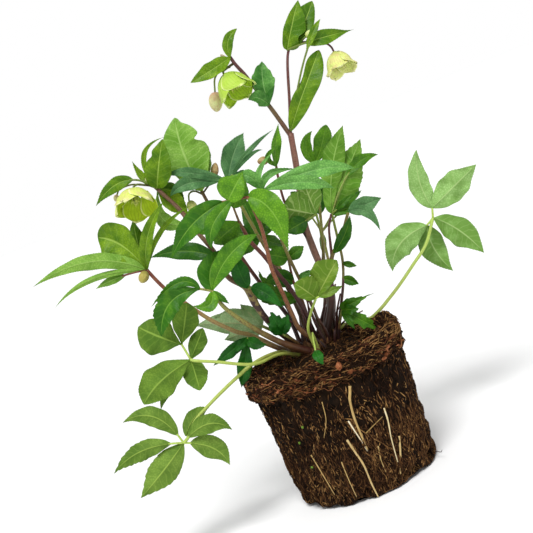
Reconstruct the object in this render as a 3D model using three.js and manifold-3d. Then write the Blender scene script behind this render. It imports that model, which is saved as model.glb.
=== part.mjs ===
// A hellebore lifted out of its pot: a firm, pot-shaped root ball standing on its flat base, the crown on top of
// it, palmate leaves on long petioles, forked flower stems with leafy bracts, three nodding flowers and their buds.
// Millimetres, +Z up, origin at the centre of the root ball's flat base.
import * as THREE from "three";
import { mergeVertices } from "three/addons/utils/BufferGeometryUtils.js";
import Module from "manifold-3d";

const wasm = await Module();
wasm.setup();

// ---- Driving dimensions -------------------------------------------------------------------------------------

const ROOT_BALL_HEIGHT = 140;
const ROOT_BALL_BASE_RADIUS = 70; // the plug tapers as the pot did
const ROOT_BALL_NECK_RADIUS = 76.5; // just under the rim mat
const ROOT_BALL_EDGE = 3; // how far the base's edge is worn round
const RIM_RADIUS = 81; // the matted rim stands proud where the pot's rim was
const RIM_THICKNESS = 18;
const RIM_SHOULDER = 4; // the rim's top edge draws in by this much
const RIM_WIDTH = 20; // from its outside to the soil
const SOIL_DISH = 2; // the soil sinks a little inside the rim
const ROOT_BALL_SEGMENTS = 30;

const CROWN_RADIUS = 36;
const CROWN_FLARE = 6; // its foot spreads this much wider
const CROWN_HEIGHT = 7; // above the dished soil
const CROWN_SEGMENTS = 24;
const SEAT_GAP = 0.3; // between pieces that touch

const LEAN = THREE.MathUtils.degToRad(22); // the growth plane leans this far from upright
const PITCH = THREE.MathUtils.degToRad(6); // and tips back this far
const SIGHT = 1150; // growth spreads with depth as if seen from this far
const SPREAD_CENTRE = { across: -53.5, up: 83.5 }; // centre of that spread, from the crown

const BLADE_THICKNESS = 0.9; // at the midrib, halfway along
const BLADE_TAPER = 1.5; // share of that thickness at the foot; it falls by 1 to the tip
const BLADE_BASE_WIDTH = 2.4;
const BLADE_FULLNESS = 0.85; // below 1 the outline is fuller than a sine
const BLADE_TIP_FROM = 0.8; // where the drawn-in tip begins
const BLADE_TIP_SHARE = 0.9; // its width against the plain outline
const BLADE_STATIONS = [0, 0.16, 0.38, 0.62, 0.84, 1];
const BLADE_FOLD = Math.tan(THREE.MathUtils.degToRad(12)); // halves rise from the midrib
const BLADE_ARCH = 3; // default bow of a midrib, mm
const TWIG_RADII = [1.1, 1]; // side stalks where a leaf divides
const PETIOLE_SIDES = 5;
const STEM_SIDES = 7;
const CLOSE_POINTS = 5; // a route of more points than this has them close enough for one ring each

const TEPALS = 5;
const TEPAL_THICKNESS = 0.5;
const TEPAL_LAP = 0.9; // each tepal lies this far over the next, mm at its edge
const TEPAL_CLEARANCE = 0.6; // between its foot and the receptacle
const TEPAL_COLUMNS = 5;
const TEPAL_STATIONS = [0, 0.2, 0.48, 0.78, 1];
const RECEPTACLE_RADIUS = 2.6;
const RECEPTACLE_HEIGHT = 1.8;
const STAMEN_TUFT = [[4.2, 0.32], [3.4, 0.5], [1.3, 0.66], [0, 0.7]]; // radius, share of the flower's depth
const CENTRE_SIDES = 10;
const BUD_PROFILE = [[0, 0], [0.55, 0.04], [0.92, 0.24], [1, 0.48], [0.8, 0.74], [0.36, 0.94], [0, 1]];
const BUD_SIDES = 8;

// ---- Growth plane: across, up and toward, in mm from the crown ---------------------------------------------------

const CROWN = new THREE.Vector3(0, 0, ROOT_BALL_HEIGHT);
const ACROSS = new THREE.Vector3(
  Math.cos(LEAN), -Math.sin(LEAN) * Math.sin(PITCH), -Math.sin(LEAN) * Math.cos(PITCH));
const UPWARD = new THREE.Vector3(
  Math.sin(LEAN), Math.cos(LEAN) * Math.sin(PITCH), Math.cos(LEAN) * Math.cos(PITCH));
const TOWARD = new THREE.Vector3(0, -Math.cos(PITCH), Math.sin(PITCH));

/** A point of the plant from its distances across, up and toward, spread with depth. */
function place([across, up, toward]) {
  const scale = 1 - toward / SIGHT;
  const x = (across - SPREAD_CENTRE.across) * scale + SPREAD_CENTRE.across;
  const y = (up - SPREAD_CENTRE.up) * scale + SPREAD_CENTRE.up;
  return CROWN.clone().addScaledVector(ACROSS, x).addScaledVector(UPWARD, y).addScaledVector(TOWARD, toward);
}

/** A direction of the plant from its components across, up and toward. */
function heading([across, up, toward]) {
  return new THREE.Vector3().addScaledVector(ACROSS, across).addScaledVector(UPWARD, up)
    .addScaledVector(TOWARD, toward).normalize();
}

// ---- Solids --------------------------------------------------------------------------------------------------

/** Closed geometry through rings of points; a ring of one point is a pole, other end rings are capped. */
function loft(rings) {
  const positions = [];
  const indices = [];
  const starts = rings.map((ring) => {
    const start = positions.length / 3;
    ring.forEach((point) => positions.push(point.x, point.y, point.z));
    return start;
  });
  const count = Math.max(...rings.map((ring) => ring.length));
  const corner = (row, column) => starts[row] + (rings[row].length === 1 ? 0 : column % count);
  const face = (a, b, c) => {
    if (a !== b && b !== c && a !== c) indices.push(a, b, c);
  };
  for (let row = 0; row + 1 < rings.length; row += 1) {
    for (let column = 0; column < count; column += 1) {
      face(corner(row, column), corner(row, column + 1), corner(row + 1, column + 1));
      face(corner(row, column), corner(row + 1, column + 1), corner(row + 1, column));
    }
  }
  const cap = (row, flip) => {
    if (rings[row].length === 1) return;
    for (let column = 0; column < count / 2 - 1; column += 1) {
      const near = [corner(row, column), corner(row, column + 1)];
      const far = [corner(row, count - 2 - column), corner(row, count - 1 - column)];
      const faces = [[near[0], near[1], far[0]], [near[0], far[0], far[1]]];
      faces.forEach(([a, b, c]) => (flip ? face(a, c, b) : face(a, b, c)));
    }
  };
  cap(0, true);
  cap(rings.length - 1, false);
  const geometry = new THREE.BufferGeometry();
  geometry.setAttribute("position", new THREE.Float32BufferAttribute(positions, 3));
  geometry.setIndex(indices);
  return turnedOutward(geometry);
}

/** The same geometry with its faces pointing out. */
function turnedOutward(geometry) {
  const position = geometry.getAttribute("position");
  const index = geometry.getIndex();
  const corners = [new THREE.Vector3(), new THREE.Vector3(), new THREE.Vector3()];
  let volume = 0;
  for (let i = 0; i < index.count; i += 3) {
    corners.forEach((corner, k) => corner.fromBufferAttribute(position, index.getX(i + k)));
    volume += corners[0].dot(corners[1].clone().cross(corners[2]));
  }
  if (volume < 0) {
    for (let i = 0; i < index.count; i += 3) {
      const second = index.getX(i + 1);
      index.setX(i + 1, index.getX(i + 2));
      index.setX(i + 2, second);
    }
  }
  return geometry;
}

/** A manifold solid of a closed geometry. */
function solid(geometry) {
  return new wasm.Manifold(new wasm.Mesh({
    numProp: 3,
    vertProperties: Float32Array.from(geometry.getAttribute("position").array),
    triVerts: Uint32Array.from(geometry.getIndex().array),
  }));
}

/** One geometry grown together from several. */
function grownTogether(geometries) {
  if (geometries.length === 1) return geometries[0];
  const whole = geometries.slice(1).reduce((sum, next) => sum.add(solid(next)), solid(geometries[0]));
  const mesh = whole.getMesh();
  const geometry = new THREE.BufferGeometry();
  geometry.setAttribute("position", new THREE.Float32BufferAttribute(mesh.vertProperties, 3));
  geometry.setIndex(Array.from(mesh.triVerts));
  return geometry;
}

/** Geometry turned about the Z axis from a profile of [radius, height] that starts and ends on the axis. */
function turned(profile, segments) {
  const lathe = new THREE.LatheGeometry(profile.map(([radius, height]) => new THREE.Vector2(radius, height)),
    segments);
  lathe.deleteAttribute("normal");
  lathe.deleteAttribute("uv");
  lathe.rotateX(Math.PI / 2);
  const merged = mergeVertices(lathe, 1e-4);
  const index = Array.from(merged.getIndex().array);
  const kept = [];
  for (let i = 0; i < index.length; i += 3) {
    const [a, b, c] = index.slice(i, i + 3);
    if (a !== b && b !== c && a !== c) kept.push(a, b, c);
  }
  merged.setIndex(kept);
  return turnedOutward(merged);
}

/** Geometry stood on a point with its own +Z along an axis. */
function stood(geometry, point, axis, turn = 0) {
  const rotation = new THREE.Quaternion().setFromUnitVectors(new THREE.Vector3(0, 0, 1), axis);
  rotation.multiply(new THREE.Quaternion().setFromAxisAngle(new THREE.Vector3(0, 0, 1), turn));
  return geometry.applyQuaternion(rotation).translate(point.x, point.y, point.z);
}

/** Round stalk through points, with its radius running through the given values; it can start on level ground. */
function stalk(points, radii, { sides = PETIOLE_SIDES, level = false } = {}) {
  const steps = points.length > CLOSE_POINTS ? 1 : 2;
  const curve = new THREE.CatmullRomCurve3(points, false, "centripetal");
  const last = (points.length - 1) * steps;
  const rings = [];
  let normal = null;
  for (let i = 0; i <= last; i += 1) {
    const t = i / last;
    const point = curve.getPoint(t);
    const tangent = curve.getTangent(t);
    if (level && i === 0) tangent.set(0, 0, 1);
    normal = (normal ?? new THREE.Vector3(1, 0, 0)).clone();
    normal.addScaledVector(tangent, -normal.dot(tangent)).normalize();
    const side = tangent.clone().cross(normal);
    const position = t * (radii.length - 1);
    const low = Math.min(Math.floor(position), radii.length - 2);
    const radius = THREE.MathUtils.lerp(radii[low], radii[low + 1], position - low);
    rings.push(Array.from({ length: sides }, (_, k) => {
      const angle = (2 * Math.PI * k) / sides;
      return point.clone().addScaledVector(normal, radius * Math.cos(angle))
        .addScaledVector(side, radius * Math.sin(angle));
    }));
  }
  return loft(rings);
}

/** Half-width of a blade, from 0 to 1, along its length from 0 to 1. */
function outline(along, widest) {
  const bent = along ** (Math.log(0.5) / Math.log(widest));
  return Math.sin(Math.PI * bent) ** BLADE_FULLNESS;
}

/**
 * Leaf blade folded along its midrib, from one point to its tip. face turns it about the midrib: at 0 its upper
 * side looks toward, at 180 its underside does. stem is the share of its length that is bare stalk.
 */
function blade(from, { to, via = null, width, face = 0, widest = 0.42, stem = 0 }) {
  const turn = THREE.MathUtils.degToRad(face);
  const start = place(from);
  const tip = place(to);
  const bowed = start.clone().add(tip).multiplyScalar(0.5).addScaledVector(TOWARD, BLADE_ARCH * Math.cos(turn));
  const middle = via ? place(via) : bowed;
  const control = middle.multiplyScalar(2).addScaledVector(start, -0.5).addScaledVector(tip, -0.5);
  const midrib = new THREE.QuadraticBezierCurve3(start, control, tip);
  const places = BLADE_STATIONS.map((s) => [stem + (1 - stem) * s, s]);
  if (stem > 0) places.unshift([0, 0]);
  return loft(places.map(([t, s]) => {
    const point = midrib.getPoint(t);
    if (s === 1) return [point];
    const tangent = midrib.getTangent(t);
    const facing = TOWARD.clone().addScaledVector(tangent, -TOWARD.dot(tangent)).normalize();
    const beside = tangent.clone().cross(facing);
    const upper = facing.clone().multiplyScalar(Math.cos(turn)).addScaledVector(beside, Math.sin(turn));
    const side = tangent.clone().cross(upper);
    const drawnIn = s > BLADE_TIP_FROM ? BLADE_TIP_SHARE : 1;
    const half = Math.max(BLADE_BASE_WIDTH / 2, (width / 2) * outline(s, widest)) * drawnIn;
    const rise = half * BLADE_FOLD;
    const thick = (BLADE_THICKNESS / 2) * (BLADE_TAPER - s);
    return [
      point.clone().addScaledVector(upper, thick),
      point.clone().addScaledVector(side, half).addScaledVector(upper, rise),
      point.clone().addScaledVector(upper, -thick),
      point.clone().addScaledVector(side, -half).addScaledVector(upper, rise),
    ];
  }));
}

// ---- Parts of the plant -----------------------------------------------------------------------------------------

const plant = new THREE.Group();

/** Adds one named piece to the plant. */
function piece(name, geometry, colour, roughness = 0.55) {
  geometry.computeVertexNormals();
  const mesh = new THREE.Mesh(geometry, new THREE.MeshStandardMaterial({ color: colour, roughness }));
  mesh.name = name;
  plant.add(mesh);
}

/** Where a petiole or stem leaves the crown's top, from its place on it. */
function onCrown([x, y]) {
  return new THREE.Vector3(x, y, CROWN.z - SOIL_DISH + CROWN_HEIGHT + SEAT_GAP);
}

/** A basal leaf: petiole from the crown, side stalks where it divides, and its leaflets, grown as one. */
function leaf(name, { root, route, radii, twigs = [], leaflets, colour }) {
  const hub = route[route.length - 1];
  const parts = [stalk([onCrown(root), ...route.map(place)], radii, { level: true })];
  twigs.forEach((twig) => parts.push(stalk(twig.map(place), TWIG_RADII)));
  leaflets.forEach((leaflet) => parts.push(blade(leaflet.from ?? hub, leaflet)));
  piece(name, grownTogether(parts), colour);
}

/** A flower stem with its forks and flower stalks, grown as one. */
function flowerStem(name, { root, route, radii, forks }, colour) {
  const parts = [stalk([onCrown(root), ...route.map(place)], radii, { sides: STEM_SIDES, level: true })];
  forks.forEach((fork) => parts.push(stalk(fork.route.map(place), fork.radii)));
  piece(name, grownTogether(parts), colour);
}

/** A whorl of bracts that share one foot beside or on the end of a stem. */
function bracts(name, foot, blades, colour) {
  piece(name, grownTogether(blades.map((item) => blade(foot, item))), colour);
}

/** A closed bud that stands on the end of its stalk. */
function bud(name, foot, axis, length, width, colour) {
  const profile = BUD_PROFILE.map(([radius, height]) => [(radius * width) / 2, SEAT_GAP + height * length]);
  piece(name, stood(turned(profile, BUD_SIDES), place(foot), heading(axis)), colour, 0.5);
}

/** Degrees from a tepal's middle to its edge, along it from 0 to 1: it widens from 20 to 54 and rounds off to 4. */
function tepalSpread(s) {
  if (s < 0.7) return 20 + 34 * Math.sin((Math.PI / 2) * (s / 0.6)) ** 1.2;
  return 54 * Math.sqrt(Math.max(0, 1 - ((s - 0.6) / 0.45) ** 2)) + 4;
}

/** A flower of five overlapping tepals round its centre, on the end of its stalk. */
function flower(name, { foot, axis, turn, depth, mouth, belly, colour }) {
  const origin = place(foot);
  const along = heading(axis);
  const centre = [[0, SEAT_GAP], [RECEPTACLE_RADIUS, SEAT_GAP], [RECEPTACLE_RADIUS, RECEPTACLE_HEIGHT],
    ...STAMEN_TUFT.map(([radius, share]) => [radius, depth * share])];
  piece(`${name}_centre`, stood(turned(centre, CENTRE_SIDES), origin, along), 0xb9c94e, 0.6);
  const startRadius = RECEPTACLE_RADIUS + TEPAL_CLEARANCE;
  for (let number = 0; number < TEPALS; number += 1) {
    const middle = (2 * Math.PI * number) / TEPALS;
    const rings = TEPAL_STATIONS.map((s) => {
      const radius = startRadius + (mouth - startRadius) * Math.sin((Math.PI / 2) * s ** belly);
      const height = 1 + (depth - 1) * s ** 1.25;
      const spread = THREE.MathUtils.degToRad(tepalSpread(s));
      const shell = (thickness) => Array.from({ length: TEPAL_COLUMNS }, (_, k) => {
        const t = (2 * k) / (TEPAL_COLUMNS - 1) - 1;
        const angle = middle + (t * spread);
        const r = radius + TEPAL_LAP * t * Math.min(1, 2.5 * s) + thickness;
        return new THREE.Vector3(r * Math.cos(angle), r * Math.sin(angle), height);
      });
      return [...shell(TEPAL_THICKNESS / 2), ...shell(-TEPAL_THICKNESS / 2).reverse()];
    });
    piece(`${name}_tepal_${number + 1}`, stood(loft(rings), origin, along, THREE.MathUtils.degToRad(turn)),
      colour, 0.5);
  }
}

// ---- Root ball and crown ------------------------------------------------------------------------------------------

piece("root_ball", turned([
  [0, 0],
  [ROOT_BALL_BASE_RADIUS - ROOT_BALL_EDGE, 0],
  [ROOT_BALL_BASE_RADIUS, ROOT_BALL_EDGE],
  [ROOT_BALL_NECK_RADIUS, ROOT_BALL_HEIGHT - RIM_THICKNESS - 2],
  [RIM_RADIUS - 1.5, ROOT_BALL_HEIGHT - RIM_THICKNESS + 1],
  [RIM_RADIUS, ROOT_BALL_HEIGHT - RIM_SHOULDER - 1],
  [RIM_RADIUS - RIM_SHOULDER, ROOT_BALL_HEIGHT],
  [RIM_RADIUS - RIM_WIDTH, ROOT_BALL_HEIGHT - SOIL_DISH],
  [0, ROOT_BALL_HEIGHT - SOIL_DISH],
], ROOT_BALL_SEGMENTS), 0x3a2818, 0.95);

piece("crown", turned([
  [0, SEAT_GAP],
  [CROWN_RADIUS + CROWN_FLARE, SEAT_GAP],
  [CROWN_RADIUS + CROWN_FLARE / 2, CROWN_HEIGHT * 0.6],
  [CROWN_RADIUS, CROWN_HEIGHT],
  [0, CROWN_HEIGHT],
], CROWN_SEGMENTS).translate(0, 0, ROOT_BALL_HEIGHT - SOIL_DISH), 0x4b3520, 0.9);

// ---- Leaves: points are across, up and toward from the crown -----------------------------------------------------

leaf("leaf_far_right", {
  root: [18, 15], radii: [2.2, 1.9, 1.75], colour: 0x96bd74,
  route: [[22, 24, -20], [38, 28, -31], [51, 32, -38], [73.5, 57, -44], [93.6, 86, -50], [105.6, 105, -53],
    [113, 132, -56]],
  twigs: [[[113, 132, -56], [112.3, 142, -57]], [[113, 132, -56], [106.6, 124.4, -56]]],
  leaflets: [
    { from: [112.3, 142, -57], to: [96.5, 200.5, -62], width: 21, face: 180 },
    { from: [112.3, 142, -57], to: [156.5, 185.8, -50], width: 28, face: 180, widest: 0.48 },
    { from: [113.4, 132, -56], to: [164.3, 97.5, -42], width: 27, face: 180, widest: 0.5 },
    { from: [106.6, 124.4, -56], to: [133.5, 79, -66], via: [121, 100, -66], width: 26, face: 180 },
    { from: [106.6, 124.4, -56], to: [72.5, 78, -40], via: [84, 105, -46], width: 28, face: 180 },
  ],
});

leaf("leaf_low_left", {
  root: [-24, -12], radii: [2.3, 2, 1.8], colour: 0x7d9c48,
  route: [[-40, -2, 26], [-66, -13, 40], [-85, -29, 42], [-110.3, -54, 44], [-125.6, -72, 45],
    [-132, -87.5, 45], [-136.5, -93, 45]],
  leaflets: [
    { to: [-197.7, -73, 48], via: [-166, -73, 50], width: 16, face: 180, stem: 0.1 },
    { to: [-206, -124, 42], via: [-178, -101, 46], width: 17, face: 180, stem: 0.14 },
    { to: [-179.2, -148, 40], via: [-156, -120, 44], width: 26, face: 180, widest: 0.5 },
    { to: [-90, -115, 38], width: 17, face: 180, stem: 0.1 },
    { to: [-87.6, -80, 50], via: [-112, -78, 50], width: 16, face: 180, stem: 0.1 },
    { from: [-134, -86, 45], to: [-110.3, -57, 36], via: [-125, -67, 37], width: 15, face: 180 },
  ],
});

leaf("leaf_mid_left", {
  root: [-18, -18], radii: [2, 1.8, 1.7], colour: 0x6f9136,
  route: [[-40, -4, 35], [-66, -14, 51], [-105, -11.7, 53], [-127, -10.4, 51], [-129.2, -9.5, 50]],
  twigs: [[[-129.2, -9.5, 50], [-138.4, 5.6, 50]]],
  leaflets: [
    { from: [-138.4, 5.6, 50], to: [-182, 23, 50], via: [-158, 16, 54], width: 23, face: 180 },
    { from: [-138.4, 5.6, 50], to: [-133, 47, 52], width: 25, face: 180 },
    { to: [-117, 22, 46], width: 13, face: 180 },
    { to: [-176, -54.6, 48], via: [-159, -25, 50], width: 25, face: 180, widest: 0.5 },
    { to: [-120, -40.6, 47], width: 20, face: 180 },
    { to: [-157.5, -61.4, 40], via: [-146, -38, 42], width: 11, face: 180 },
  ],
});

leaf("leaf_front_left", {
  root: [-8, -24], radii: [4, 3, 2.2, 1.9], colour: 0x3f9440,
  route: [[-35, 6, 36], [-58, 17, 46], [-73, 26, 54], [-86.4, 35, 60], [-98, 45, 66], [-108, 59, 70]],
  twigs: [[[-108, 59, 70], [-120, 61, 70]]],
  leaflets: [
    { to: [-61.6, 116.6, 74], via: [-91, 94, 77], width: 15 },
    { to: [-96.5, 101, 66], via: [-109, 82, 68], width: 16 },
    { from: [-120, 61, 70], to: [-169.6, 44.2, 66], via: [-142, 70, 73], width: 7 },
    { from: [-120, 61, 70], to: [-158.5, 13.4, 64], via: [-157, 46, 70], width: 16, widest: 0.6 },
    { to: [-127.7, 44.2, 77], via: [-111, 45, 79], width: 12 },
    { to: [-90.2, 46, 66], width: 6 },
  ],
});

leaf("leaf_front_centre", {
  root: [5, -23], radii: [3, 2.5, 2.3, 2.1, 1.9], colour: 0x4f9e35,
  route: [[-20.5, 21, 36], [-28, 36, 42], [-38.4, 59, 52], [-48.6, 82, 62], [-54, 105, 72], [-60, 126, 79],
    [-72, 153, 85]],
  twigs: [[[-72, 153, 85], [-98, 148, 85]]],
  leaflets: [
    { to: [-31, 97.6, 84], via: [-45, 135, 92], width: 24, widest: 0.5 },
    { from: [-92, 149.2, 85], to: [-76.5, 179.5, 86], width: 20, widest: 0.45 },
    { from: [-97, 148.2, 85], to: [-148.5, 91.5, 76], via: [-128, 125, 85], width: 20 },
    { from: [-88, 149.9, 85], to: [-108, 100.7, 86], via: [-107, 125, 91], width: 13 },
  ],
});

leaf("leaf_red_petiole", {
  root: [-3, -15], radii: [2.4, 2.1, 2, 1.7], colour: 0x3d7a2c,
  route: [[-14, 36, 30], [-31, 63, 38], [-43.5, 78, 43], [-56, 94, 50], [-70, 109, 55], [-77, 121, 58],
    [-81, 128, 60]],
  twigs: [[[-81, 128, 60], [-86.4, 142, 62]], [[-81, 128, 60], [-98, 127, 58]],
    [[-72, 112, 56], [-90, 100, 52], [-104, 93, 48]]],
  leaflets: [
    { from: [-86.4, 142, 62], to: [-77, 176, 68], width: 14 },
    { from: [-98, 127, 58], to: [-140, 125, 54], width: 14 },
    { to: [-106, 106, 64], width: 12 },
    { from: [-104, 93, 48], to: [-170, 92, 34], via: [-137, 102, 42], width: 15 },
  ],
});

leaf("leaf_long_centre", {
  root: [8, -14], radii: [1.8, 1.6, 1.5], colour: 0x3f8f3a,
  route: [[-6, 40, 22], [-21, 72, 32], [-33.3, 98, 40], [-48, 135, 50], [-57, 160, 55]],
  leaflets: [
    { to: [37, 181.7, 48], via: [-5, 180, 62], width: 14 },
    { to: [15.5, 161.3, 44], via: [-20, 167, 56], width: 9 },
    { to: [-23, 181, 50], via: [-50, 176, 58], width: 7 },
    { from: [-21.4, 73, 32], to: [-5, 80, 38], width: 6 },
  ],
});

leaf("leaf_bluish", {
  root: [-7, 7], radii: [2, 1.7, 1.5], colour: 0x4a7a4a,
  route: [[-22, 40, 4], [-45, 85, 8], [-68, 125, 10], [-85, 155, 13], [-92, 168, 15]],
  leaflets: [
    { to: [-156, 174, 27], via: [-130, 178, 31], width: 8 },
    { to: [-150, 153, 28], via: [-130, 166, 32], width: 10, stem: 0.1 },
    { to: [-76.4, 217.4, 6], width: 20, widest: 0.5 },
    { to: [-46.6, 220.4, 20], via: [-72, 198, 22], width: 5, stem: 0.1 },
    { to: [-57, 200, 32], via: [-72, 193, 30], width: 4, stem: 0.1 },
    { to: [-63, 178, 2], width: 12 },
  ],
});

leaf("leaf_upper_small", {
  root: [1, 16], radii: [1.6, 1.4, 1.3], colour: 0x4f8f1a,
  route: [[4, 40, -24], [4, 90, -32], [0, 140, -34], [-5, 186, -26]],
  leaflets: [
    { to: [-8, 219, -20], via: [-14, 204, -22], width: 10 },
    { to: [5.9, 225.5, -28], via: [2, 206, -26], width: 14, widest: 0.55 },
  ],
});

leaf("leaf_right_upright", {
  root: [21, 4], radii: [1.6, 1.4, 1.3], colour: 0x8fb650,
  route: [[18, 22, -9], [23, 64, -13], [22.5, 90, -14], [18, 110, -12], [12, 136, -12]],
  leaflets: [
    { to: [23, 225, -14], via: [10, 180, -16], width: 17, face: 180 },
    { to: [40.4, 211.4, -26], via: [26, 170, -22], width: 24, face: 180 },
    { to: [58.7, 195.7, -28], via: [34, 170, -20], width: 9, stem: 0.4 },
    { to: [42, 160, -24], width: 9, stem: 0.1 },
    { to: [32, 156, -6], width: 6, stem: 0.2 },
    { to: [40.4, 146.7, -14], width: 11 },
    { from: [22.6, 87, -14], to: [37, 84, -10], width: 6 },
    { from: [23, 72, -13.4], to: [39, 66, -8], width: 9 },
  ],
});

leaf("leaf_pale_veined", {
  root: [6, 8], radii: [1.6, 1.4, 1.2], colour: 0x5a7f2c,
  route: [[8, 40, -13], [3, 86, -12], [3, 99, -7], [0.5, 119, 9], [-3.5, 135.5, 19]],
  leaflets: [
    { to: [-37, 135, 24], width: 22, face: 180, widest: 0.5 },
    { to: [-24, 160, 22], width: 20, face: 180 },
    { to: [-34, 117, 21], width: 12 },
  ],
});

leaf("leaf_olive_front", {
  root: [-3, -33], radii: [1.8, 1.5, 1.4], colour: 0x7a9a3c,
  route: [[-10, 14, 37], [-12, 23, 42], [-9, 38, 48], [-4, 52, 56]],
  leaflets: [
    { to: [17, 90, 62], width: 20, widest: 0.55 },
    { to: [-25.5, 67, 62], width: 20, widest: 0.5 },
    { to: [23, 64.3, 60], width: 7, stem: 0.2 },
  ],
});

leaf("leaf_low_right", {
  root: [20, -15], radii: [1.5, 1.3, 1.2], colour: 0x23701a,
  route: [[19, 22, 22], [22, 40, 30]],
  leaflets: [
    { to: [54.6, 57, 34], width: 12 },
    { to: [38.9, 41.7, 40], width: 8 },
    { to: [56.8, 22, 32], width: 10 },
    { to: [35, 20.5, 38], width: 6 },
  ],
});

leaf("leaf_dark_front", {
  root: [-13, -17], radii: [1.5, 1.4, 1.3], colour: 0x145a14,
  route: [[-24, 8, 26], [-37, 16, 34]],
  leaflets: [
    { to: [-50, 38, 46], width: 12 },
    { to: [-33, 36, 44], width: 9 },
    { to: [-53, 27, 40], width: 7 },
  ],
});

leaf("leaf_crown_left", {
  root: [-28, -4], radii: [1.5, 1.4, 1.3], colour: 0x1f7a22,
  route: [[-45, 2, 19], [-73, 12, 28]],
  leaflets: [
    { to: [-107, -16, 30], width: 9 },
    { to: [-86, -2, 34], width: 6 },
    { to: [-78.4, -37.8, 30], via: [-75, -12, 29], width: 14, widest: 0.6 },
    { to: [-53, 5.6, 34], via: [-64, 6, 32], width: 11 },
  ],
});

leaf("leaf_pale_behind", {
  root: [-22, 14], radii: [1.8, 1.6, 1.5], colour: 0x9aa96a,
  route: [[-38, 14, -8], [-58, 24, -6]],
  leaflets: [
    { to: [-106.5, 33.4, -6], width: 24, face: 180, widest: 0.5 },
    { to: [-96, 10, -2], width: 10, face: 180 },
    { to: [-80, 44, -12], width: 12, face: 180 },
  ],
});

leaf("leaf_young_centre", {
  root: [-4, -3], radii: [1.5, 1.3, 1.2], colour: 0x2f6a22,
  route: [[-12, 30, 12], [-26, 67, 22], [-32, 92, 28]],
  leaflets: [
    { to: [-54, 96, 30], width: 10 },
    { to: [-50, 104, 24], width: 6 },
    { to: [-16, 104, 26], width: 6 },
    { from: [-26, 67, 22], to: [-56, 66, 24], via: [-42, 72, 26], width: 9 },
  ],
});

leaf("leaf_back_left", {
  root: [-10, 20], radii: [1.9, 1.7, 1.5], colour: 0x3a7a2a,
  route: [[-22, 45, -44], [-42, 85, -66], [-60, 112, -78]],
  leaflets: [
    { to: [-104, 122, -96], width: 17 },
    { to: [-78, 154, -84], width: 18 },
    { to: [-42, 150, -92], width: 16 },
    { to: [-90, 92, -88], width: 13 },
    { to: [-36, 104, -100], width: 14 },
  ],
});

leaf("leaf_back_right", {
  root: [10, 24], radii: [1.9, 1.7, 1.5], colour: 0x37722a,
  route: [[14, 40, -50], [10, 80, -72], [2, 118, -84]],
  leaflets: [
    { to: [-34, 136, -98], width: 16 },
    { to: [-6, 168, -94], width: 18 },
    { to: [34, 158, -92], width: 17 },
    { to: [40, 122, -98], width: 15 },
    { to: [20, 90, -112], width: 14 },
  ],
});

// ---- Low flowering shoot on the left ----------------------------------------------------------------------------

leaf("flowering_shoot_left", {
  root: [-26, 5], radii: [2.3, 2.2, 2, 1.8], colour: 0x6f9a30,
  route: [[-45, 4, 11], [-70, 15, 14], [-83, 18, 15], [-95, 23, 16], [-111, 31, 17], [-135, 47, 18],
    [-150, 57, 19], [-164, 70, 20], [-173, 80, 20]],
  leaflets: [
    { to: [-287, 62.5, 30], via: [-230, 87, 28], width: 15, face: 180 },
    { to: [-265.5, 40.4, 22], via: [-228, 69, 24], width: 6, face: 180 },
    { to: [-224.3, 61, 18], via: [-200, 73, 20], width: 8, face: 180, stem: 0.4 },
    { to: [-223, 112, 16], via: [-199, 105, 20], width: 34, widest: 0.5 },
    { to: [-155.2, 150.3, 50], via: [-172, 115, 42], width: 12 },
    { to: [-127, 145, 46], via: [-158, 120, 34], width: 5 },
  ],
});

// ---- Flower stems -----------------------------------------------------------------------------------------------

flowerStem("flower_stem_tall", {
  root: [5, -4], radii: [3.8, 3.7, 3.4, 3.1],
  route: [[10.6, 39, 9], [10, 66, 10], [0.7, 84, 10], [-8.5, 106, 8], [-15, 125, 6], [-23, 180, 2],
    [-29.3, 216.3, 0]],
  forks: [
    { route: [[-13, 112, 8], [-24, 130, 13], [-35, 147, 16], [-42, 173, 18], [-44, 185, 18]], radii: [1.4, 1.2] },
    { route: [[-29.3, 214, 0], [-40.5, 230, 2], [-50, 243, 4], [-63.5, 260, 6], [-75, 275, 8], [-85, 286, 9],
      [-90.3, 293.4, 10]], radii: [2.4, 2, 1.7] },
    { route: [[-29.3, 214, 0], [-30.5, 247, 0], [-32, 297, 0], [-29, 304, 1], [-20, 307.5, 3], [-9, 308, 4],
      [5, 307, 6], [11, 303.3, 7], [14, 298, 8]], radii: [1.6, 1.3, 1, 1] },
    { route: [[-86, 287, 9], [-93, 282, 10], [-97, 278.5, 11], [-96, 276, 12.5]], radii: [1.3, 1.1] },
    { route: [[-90, 283, 10], [-99, 280, 3], [-105, 272, -2], [-105, 258, -5]], radii: [1, 0.9] },
    { route: [[-20, 307.5, 3], [-17, 311, 7], [-14.5, 313, 9]], radii: [1, 0.9] },
    { route: [[-44, 184, 18], [-47, 188, 17], [-52, 190, 16]], radii: [0.9, 0.8] },
  ],
}, 0x7d5a4a);

flowerStem("flower_stem_left", {
  root: [-12, -8], radii: [3.3, 3.2, 3.1, 5, 2.7, 2.4, 2.2, 2, 1.9],
  route: [[-30, 10, 18], [-51, 28, 31], [-64, 45, 38], [-74, 63, 40], [-92, 73, 40], [-106, 98, 38],
    [-121, 116, 34], [-142, 142, 28], [-155, 154, 26], [-168, 166, 24]],
  forks: [
    { route: [[-166, 164, 24], [-176.4, 165, 26], [-183, 165.5, 26], [-186.5, 163, 26.5], [-186, 160.4, 28]],
      radii: [1.1, 1] },
    { route: [[-176, 165, 25.5], [-190, 165, 14], [-201, 160, 12], [-203, 155, 12]], radii: [0.9, 0.8] },
  ],
}, 0x7a4a44);

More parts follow.
